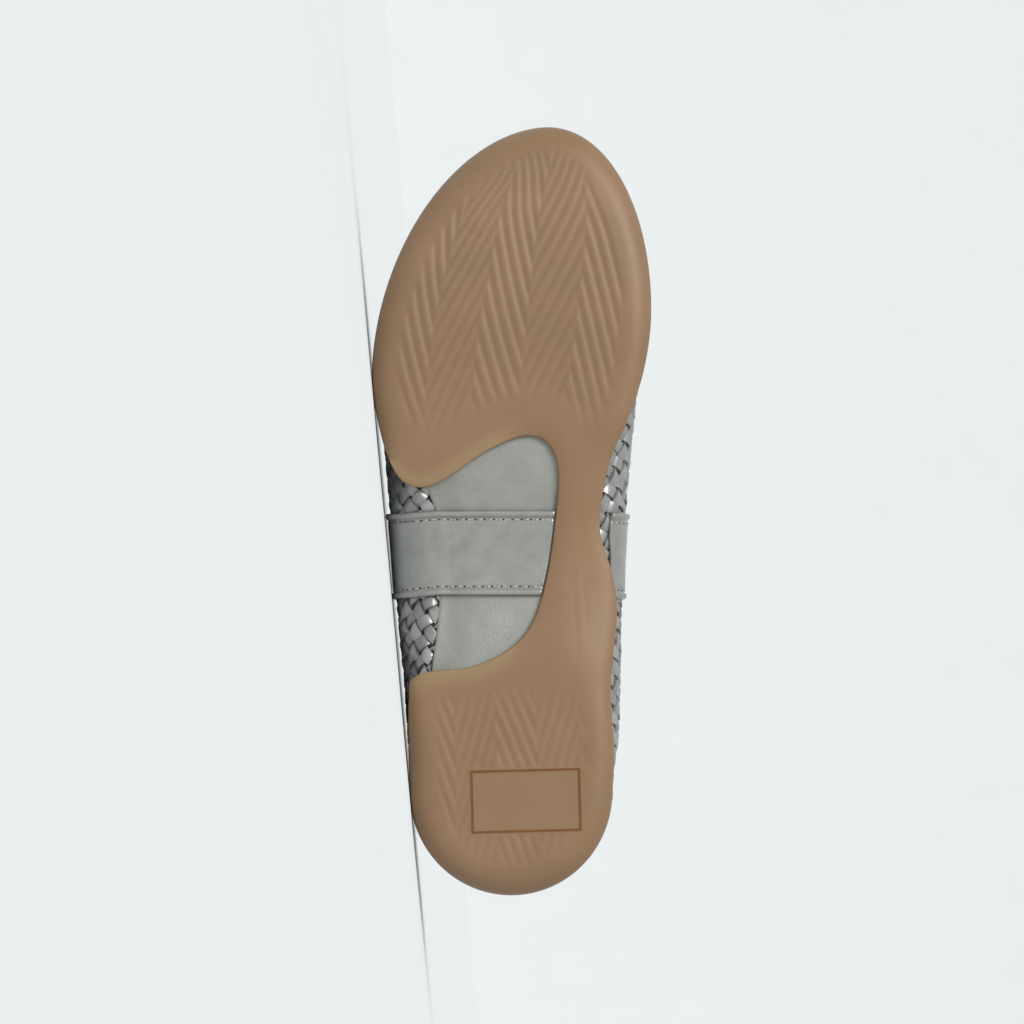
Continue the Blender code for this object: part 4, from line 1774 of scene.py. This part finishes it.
@dataclass
class WovenUpper:
    """Upper of leather strips woven on the bias, with a lining, a bound collar and a back strip."""

    last: Last
    surface: Surface
    finishes: Finishes
    stitching: Stitching
    pitch: float = 5.0
    strip_width: float = 3.65
    strip_thick: float = 0.9
    wave: float = 0.6
    flatness: float = 1.8
    crown: float = 0.16
    width_spread: float = 0.1
    stray: float = 0.28
    stray_span: float = 17.0
    lean: float = 0.16
    lean_span: float = 11.0
    crisp: float = math.radians(50)
    foot_dive: float = 1.1
    foot_reach: float = 3.2
    top_press: float = 0.65
    top_reach: tuple[float, float] = (5.0, 9.0)
    step: float = 0.85
    bias: float = math.radians(45)
    across: tuple[float, ...] = (-1.0, -1.0, -0.45, 0.45, 1.0, 1.0)
    shortest: int = 5
    squeeze: float = 0.03
    tones: tuple[float, float] = (0.2, 0.8)
    reach_off: float = 2.2
    shell_columns: int = 190
    shell_rows: int = 26
    backing_in: float = 0.85
    binding_tall: float = 5.5
    binding_stand: float = 1.15
    binding_inside: float = 7.0
    binding_columns: int = 260
    binding_grip: float = 0.45
    binding_hem: float = 0.5
    binding_arch: float = 1.3
    binding_seam_up: float = 1.3
    binding_seam_out: float = 0.1
    arch_steps: int = 6
    # Up the binding's outside: distance below the collar as a share of the binding's height and
    # beyond that, then distance out as a share of how far the binding stands and beyond that.
    binding_section: tuple[tuple[float, float, float, float], ...] = (
        (1, 0.1, 0, -0.3), (1, 0, 0.4, 0), (1, -0.25, 0.75, 0), (1, -0.7, 0.95, 0),
        (1, -1.3, 1, 0), (0.5, 0, 1, 0.1), (0, 0.8, 1, 0), (0, 0, 1, -0.25),
    )
    back_half: float = 6.5
    back_stand: float = 1.0
    back_ends: tuple[float, float] = (0.1, 0.93)
    back_rows: int = 40
    back_seam_share: float = 0.74
    back_seam_stand: float = 1.05
    # Round the back strip: place across as a share of half its width, and share of its stand.
    back_profile: tuple[tuple[float, float], ...] = (
        (-1, 0), (-1, 0.8), (-0.93, 1), (-0.6, 1.05), (0, 1.1),
        (0.6, 1.05), (0.93, 1), (1, 0.8), (1, 0), (0, -0.2),
    )

    def build(self) -> None:
        """Weave, shell, collar and back strip."""
        self.build_weave()
        self.build_shell()
        self.build_binding()
        self.build_back_strip()

    def build_weave(self) -> None:
        """Strips of both directions as one joined piece."""
        pattern = FlatPattern(self.surface)
        pattern.lay_flat()
        rng = np.random.default_rng(SEED)
        low, high = pattern.flat.min(0), pattern.flat.max(0)
        reach = float(np.linalg.norm(high - low))
        middle = (low + high) / 2
        count = int(reach / self.pitch / 2)
        ahead = [np.array((math.cos(a), math.sin(a))) for a in (self.bias, -self.bias)]
        weave = Weave(pattern, [np.array((-d[1], d[0])) for d in ahead])
        along = np.arange(-reach / 2, reach / 2, self.step)
        for way, (forward, aside) in enumerate(zip(ahead, weave.aside)):
            base = middle @ aside
            for k in range(-count, count):
                line = round(base / self.pitch) + k
                centre = (middle @ forward + along)[:, None] * forward + line * self.pitch * aside
                inside = (centre > low - self.pitch).all(1) & (centre < high + self.pitch).all(1)
                if inside.sum() >= self.shortest:
                    self.add_strip(weave, centre[inside], way, line, rng)
        points, tones = np.vstack(weave.points), np.concatenate(weave.tones)
        strips = add_piece("woven_leather_strips", points, weave.faces, self.finishes.strip)
        bpy.ops.object.shade_smooth_by_angle(angle=self.crisp)
        shade_points(strips, "tone", tones)
        finish_piece(strips, "woven_leather", "upper")

    def add_strip(
        self, weave: Weave, centre: Array, way: int, line: int, rng: np.random.Generator
    ) -> None:
        """Add the stretches of one strip that lie on the shoe.

        Args:
            weave: the weave so far.
            centre: points of the strip's centre line on the flat pattern.
            way: which of the two directions the strip runs.
            line: number of the strip among those of its direction.
            rng: source of small differences between strips.
        """
        _, _, off = weave.pattern.back(centre)
        on = off < self.reach_off
        starts = np.flatnonzero(on & ~np.roll(on, 1) | (on & (np.arange(len(on)) == 0)))
        cut = Cut(
            rng.uniform(*self.tones),
            self.strip_width * rng.uniform(1 - self.width_spread, 1 + self.width_spread),
            *rng.uniform(0, 2 * math.pi, 2),
        )
        for start in starts:
            end = start
            while end < len(on) and on[end]:
                end += 1
            if end - start >= self.shortest:
                self.add_ribbon(weave, centre[start:end], way, line, cut)
                weave.tones.append(np.full((end - start) * len(self.across), cut.tone))

    def add_ribbon(self, weave: Weave, centre: Array, way: int, line: int, cut: Cut) -> None:
        """Add one ribbon that passes over and under the strips it crosses.

        Args:
            weave: the weave so far.
            centre: points of its centre line on the flat pattern.
            way: which of the two directions it runs.
            line: its number among those of its direction.
            cut: what is its own about this strip.
        """
        shares = np.array(self.across)
        aside = weave.aside[way]
        crossing = centre @ weave.aside[1 - way] / self.pitch
        swing = np.cos(math.pi * (crossing + line)) * (1 if way == 0 else -1)
        swing = np.tanh(self.flatness * swing) / math.tanh(self.flatness)
        half = cut.width * (1 - self.squeeze + self.squeeze * swing) / 2
        run = centre @ np.array((aside[1], -aside[0]))
        stray = self.stray * np.sin(2 * math.pi * run / self.stray_span + cut.stray_phase)
        lean = self.lean * np.sin(2 * math.pi * run / self.lean_span + cut.lean_phase)
        offset = shares[None, :] * half[:, None]
        flat = centre[:, None] + (offset + stray[:, None])[:, :, None] * aside
        share, rise, _ = weave.pattern.back(flat.reshape(-1, 2))
        crown = self.crown * (1 - shares**2) - self.crown
        length = self.surface.length(share)
        dive = self.foot_dive * (1 - ease(rise * length, 0.0, self.foot_reach))
        flattened = 1 - self.top_press * (1 - ease((1 - rise) * length, *self.top_reach))
        stand = self.wave * swing[:, None] * flattened.reshape(len(centre), -1)
        stand += crown[None, :] - dive.reshape(len(centre), -1)
        stand += lean[:, None] * offset
        stand[:, [0, -1]] -= self.strip_thick
        first = sum(len(block) for block in weave.points)
        weave.points.append(self.surface.at(share, rise, stand.reshape(-1)))
        weave.faces.extend(tube_faces(len(centre), len(shares), first))

    def build_shell(self) -> None:
        """Backing behind the weave, nearly black as painted shade for its gaps, and lining toward
        the foot, as one closed shell.
        """
        columns, rows = self.shell_columns, self.shell_rows
        share, rise = every_pair(np.arange(columns) / columns, np.linspace(0, 1, rows))
        depths = (-self.backing_in, -self.last.wall)
        points = np.vstack([self.surface.at(share, rise, depth) for depth in depths])
        faces = plate_faces(columns, rows, wrap=True)
        shell = add_piece("backing_and_lining", points, faces, self.finishes.backing)
        shell.data.materials.append(self.finishes.lining)
        for face in shell.data.polygons[columns * (rows - 1) :]:
            face.material_index = 1
        self.lay_threads(shell, np.tile(share, 2), np.tile(rise, 2))
        finish_piece(shell, "woven_leather")

    def lay_threads(self, shell: bpy.types.Object, share: Array, rise: Array) -> None:
        """Give the shell a UV map in metres round and up its wall, for the threads of its cloth.

        Args:
            shell: the shell, made of quads.
            share: turn of each point, as a share of a full turn.
            rise: share of the way up the rib of each point.
        """
        owner = np.empty(len(shell.data.loops), np.int32)
        shell.data.loops.foreach_get("vertex_index", owner)
        turn = share[owner].reshape(-1, 4)
        seam = np.ptp(turn, axis=1) > 0.5
        turn[seam] += turn[seam] < 0.5
        turn = turn.reshape(-1)
        girth = line_lengths(self.surface.points[:, self.surface.ROWS // 2])
        height = rise[owner] * self.surface.length(share[owner])
        uv = (np.column_stack((turn * girth, height)) * MM).reshape(-1).astype(np.float32)
        shell.data.uv_layers.new(name="threads").data.foreach_set("uv", uv)

    def build_binding(self) -> None:
        """Leather binding folded over the collar, with a row of stitches."""
        columns, tall, stand = self.binding_columns, self.binding_tall, self.binding_stand
        share = np.arange(columns) / columns
        wall = -self.last.wall
        rings = []
        for height, below, out, beyond in self.binding_section:
            ring = self.surface.below_top(share, tall * height + below, stand * out + beyond)
            rings.append(ring)
        edge_out = rings[-1]
        edge_in = self.surface.below_top(share, 0.0, wall - self.binding_grip)
        middle, radius = (edge_out + edge_in) / 2, (edge_out - edge_in) / 2
        arch = np.array((0, 0, self.binding_arch))
        for angle in np.linspace(0, math.pi, self.arch_steps + 1)[1:-1]:
            rings.append(middle + radius * math.cos(angle) + arch * math.sin(angle))
        rings.append(edge_in)
        for out in (wall - self.binding_hem, wall):
            rings.append(self.surface.below_top(share, self.binding_inside, out))
        points = np.stack(rings, axis=1).reshape(-1, 3)
        faces = strip_faces(columns, len(rings), wrap=True, close=True)
        binding = add_piece("collar_binding", points, faces, self.finishes.trim)
        finish_piece(binding, "woven_leather")
        line = np.append(np.arange(2 * columns) / (2 * columns), 1.0)
        rise = 1 - (tall - self.binding_seam_up) / self.surface.length(line)
        row = self.surface.seam(line, rise, stand + self.binding_seam_out)
        self.stitching.build("collar_stitches", [row], "woven_leather")

    def build_back_strip(self) -> None:
        """Plain leather strip over the back seam, stitched along both sides."""
        places = np.array((0, 1 / self.surface.COLUMNS))
        back, near = self.surface.at(places, np.full(2, 0.5))
        half = self.back_half / (np.linalg.norm(near - back) * self.surface.COLUMNS)
        rise = np.linspace(*self.back_ends, self.back_rows)
        level = np.ones(self.back_rows)
        columns = []
        for side, out in self.back_profile:
            columns.append(self.surface.at(level * side * half % 1.0, rise, out * self.back_stand))
        points = np.stack(columns, axis=1).reshape(-1, 3)
        faces = tube_faces(len(rise), len(self.back_profile))
        strip = add_piece("back_strip", points, faces, self.finishes.trim)
        finish_piece(strip, "woven_leather")
        rows = []
        for side in (-self.back_seam_share, self.back_seam_share):
            share = level * side * half % 1.0
            rows.append(self.surface.seam(share, rise, self.back_stand * self.back_seam_stand))
        self.stitching.build("back_strip_stitches", rows, "woven_leather")


@dataclass
class SaddleBand:
    """One broad plain band across the waist, with folded and stitched edges."""

    last: Last
    surface: Surface
    finishes: Finishes
    stitching: Stitching
    back: float = 96.0
    front: float = 124.0
    stand: float = 0.75
    thick: float = 0.72
    fold_width: float = 2.0
    fold_stand: float = 0.58
    seam_width: float = 0.5
    seam_depth: float = 0.26
    stitch_in: float = 2.75
    edge_share: float = 0.13
    edge_columns: int = 15
    middle_columns: int = 23
    rows: int = 130
    creases: tuple[Crease, ...] = table(
        Crease, ((33, 4), (30, 15), 0.1, 1.5), ((40, 25), (36.5, 10), 0.12, 1.7),
        ((44, 3.5), (42, 13), 0.1, 1.5), ((49, 24), (47.5, 13), 0.1, 1.6),
        ((17, 22), (11, 9), 0.08, 2.2),
    )
    foot: dict[Side, float] = field(
        default_factory=lambda: {Side.LATERAL: 0.0, Side.MEDIAL: 0.14}
    )
    top: float = 0.95
    cut_gap: float = 0.35
    tuck_reach: tuple[float, float] = (5.0, 9.0)
    tuck_stand: float = 0.5
    stitch_stop: float = 7.2
    stitch_stand: float = 0.08
    under_lap: float = 0.35
    tuck_in: float = 0.3
    arch_end: float = 146.0
    lead_steps: int = 11

    def build(self, side: Side) -> None:
        """Band of one side; the lateral one runs on under the bottom panel.

        Args:
            side: side of the shoe.
        """
        ends = [self.last.widest.turn_at(along, side) for along in (self.back, self.front)]
        edge = self.edge_share
        shares = np.concatenate(
            (
                np.linspace(0, edge, self.edge_columns)[:-1],
                np.linspace(edge, 1 - edge, self.middle_columns),
                np.linspace(1 - edge, 1, self.edge_columns)[1:],
            )
        )
        lines = self.last.rib_lines(min(ends) + (max(ends) - min(ends)) * shares)
        if side is Side.LATERAL:
            lines = self.under_panel(lines)
        climbed = np.linspace(self.foot[side], self.top, self.rows)
        plain = spaced(lines, climbed)
        below_top = line_lengths(lines)[:, None] * (1 - climbed)
        free = ease(below_top, *self.tuck_reach)
        normals = grid_normals(plain, closed=False)
        run, climb = run_along(plain), run_along(plain, 1)
        inset = np.minimum(run, run[-1:] - run)
        bow = np.clip(2 * inset / self.fold_width - 1, -1, 1)
        folded = self.fold_stand * np.sqrt(1 - bow**2)
        seam = self.seam_depth * np.exp(-(((inset - self.stitch_in) / self.seam_width) ** 2))
        pressed = press(np.column_stack((climb.reshape(-1), run.reshape(-1))), self.creases)
        height = self.stand + self.thick + folded - seam - pressed.reshape(run.shape)
        height = self.tuck_stand + (height - self.tuck_stand) * free
        under = (self.stand - self.under_lap) * free - self.tuck_in * (1 - free)
        outer = plain + normals * height[:, :, None]
        inner = plain + normals * under[:, :, None]
        points = np.vstack((outer.reshape(-1, 3), inner.reshape(-1, 3)))
        faces = plate_faces(len(shares), self.rows)
        name = f"saddle_band_{side.name.lower()}"
        band = add_piece(f"stitched_{name}", points, faces, self.finishes.trim)
        finish_piece(band, "band_leather", name)
        rows = []
        for distance in (self.stitch_in, run[-1].mean() - self.stitch_in):
            c = int(np.argmin(np.abs(run.mean(axis=1) - distance)))
            sewn = below_top[c] > self.stitch_stop
            out = normals[c][sewn]
            rows.append((outer[c][sewn] + out * self.stitch_stand, out))
        self.stitching.build(f"{name}_stitches", rows, "band_leather")

    def under_panel(self, lines: Array) -> Array:
        """Lead rib lines on under the bottom panel, up to the outsole's cut edge.

        Args:
            lines: points of shape (lines, steps, 3).

        Returns:
            The lines with more steps before the first.
        """
        cut = self.last.cutout_loop()
        arch = cut[(cut[:, 1] > 0) & (cut[:, 0] < self.arch_end)]
        arch = arch[np.argsort(arch[:, 0])]
        start = lines[:, 0].copy()
        start[:, 1] = np.interp(start[:, 0], arch[:, 0], arch[:, 1]) - self.cut_gap
        share = np.linspace(0, 1, self.lead_steps + 1)[:-1]
        lead = start[:, None] + (lines[:, :1] - start[:, None]) * share[None, :, None]
        lead[:, :, 2] -= self.last.sag(lead[:, :, :2].reshape(-1, 2)).reshape(lead.shape[:2])
        return np.concatenate((lead, lines), axis=1)


@dataclass
class Studio:
    """Pale seamless paper, soft lights and the camera square to the sole."""

    finishes: Finishes
    picture_mm: float = 331.2
    aim: tuple[float, float, float] = (124.5, 0.3, 2.0)
    distance: float = 2.0
    sensor: float = 36.0
    wall_at: float = 40.0
    wall_height: float = 9.0
    half: float = 45.0
    sight: float = 120.0
    world_colour: str = "#FFFFFF"
    world_strength: float = 0.6
    key_from: tuple[float, float, float] = (-0.36, -0.68, 0.64)
    key_strength: float = 2.7
    key_spread: float = math.radians(32)

    def build(self) -> None:
        """Paper, lights and camera."""
        self.build_paper()
        self.build_lights()
        self.build_camera()
        bpy.context.scene.view_settings.view_transform = "Standard"

    def build_paper(self) -> None:
        """Floor that turns up into a wall behind the shoe."""
        middle = (0, self.wall_at - self.half, 0)
        bpy.ops.mesh.primitive_plane_add(size=2 * self.half, location=middle)
        bpy.ops.object.transform_apply()
        paper = bpy.context.object
        paper.name = paper.data.name = "seamless_paper"
        for vertex in paper.data.vertices:
            vertex.select = vertex.co.y > self.wall_at - self.half
        for edge in paper.data.edges:
            edge.select = all(paper.data.vertices[k].select for k in edge.vertices)
        for face in paper.data.polygons:
            face.select = False
        bpy.ops.object.mode_set(mode="EDIT")
        bpy.ops.mesh.extrude_region_move(TRANSFORM_OT_translate={"value": (0, 0, self.wall_height)})
        bpy.ops.object.mode_set(mode="OBJECT")
        paper.data.materials.append(self.finishes.paper)
        paper.data.materials.append(self.finishes.backdrop)
        for face in paper.data.polygons:
            face.material_index = int(abs(face.normal.z) < 0.5)

    def build_lights(self) -> None:
        """Broad key from above the toe on the camera's side, and an even surround."""
        light = bpy.data.lights.new("key_light", "SUN")
        light.energy = self.key_strength
        light.angle = self.key_spread
        lamp = bpy.data.objects.new("key_light", light)
        lamp.rotation_euler = Vector(self.key_from).to_track_quat("Z", "Y").to_euler()
        bpy.context.scene.collection.objects.link(lamp)
        world = bpy.data.worlds.new("studio_surround")
        world.use_nodes = True
        sky = world.node_tree.nodes["Background"]
        sky.inputs["Color"].default_value = linear(self.world_colour)
        sky.inputs["Strength"].default_value = self.world_strength
        bpy.context.scene.world = world

    def build_camera(self) -> None:
        """Camera square to the tread, toe up and medial side to the right."""
        data = bpy.data.cameras.new("camera")
        data.sensor_width = self.sensor
        data.lens = self.sensor * self.distance / (self.picture_mm * MM)
        data.clip_end = self.sight
        camera = bpy.data.objects.new("camera", data)
        back = REST.direction(0, 0, -1)
        up = REST.direction(1, 0, 0)
        right = up.cross(back)
        turn = Matrix((right, up, back)).transposed()
        aim = Vector(REST.place_points(np.array([self.aim]))[0])
        camera.matrix_world = Matrix.Translation(aim + back * self.distance) @ turn.to_4x4()
        bpy.context.scene.collection.objects.link(camera)
        bpy.context.scene.camera = camera


def main() -> None:
    """Build the shoe piece by piece, then the studio."""
    logging.basicConfig(level=logging.INFO, format="%(name)s %(message)s")
    last = Last()
    finishes = Finishes.build()
    surface = Surface(last)
    # The backing's near-black finish paints the shade in the needle holes.
    stitching = Stitching(finishes.thread, finishes.backing)
    Outsole(last, finishes).build()
    panel = BottomPanel(last, surface, finishes)
    panel.build()
    Insole(panel, finishes).build()
    WovenUpper(last, surface, finishes, stitching).build()
    band = SaddleBand(last, surface, finishes, stitching)
    for side in Side:
        band.build(side)
    Studio(finishes).build()


if __name__ == "__main__":
    main()
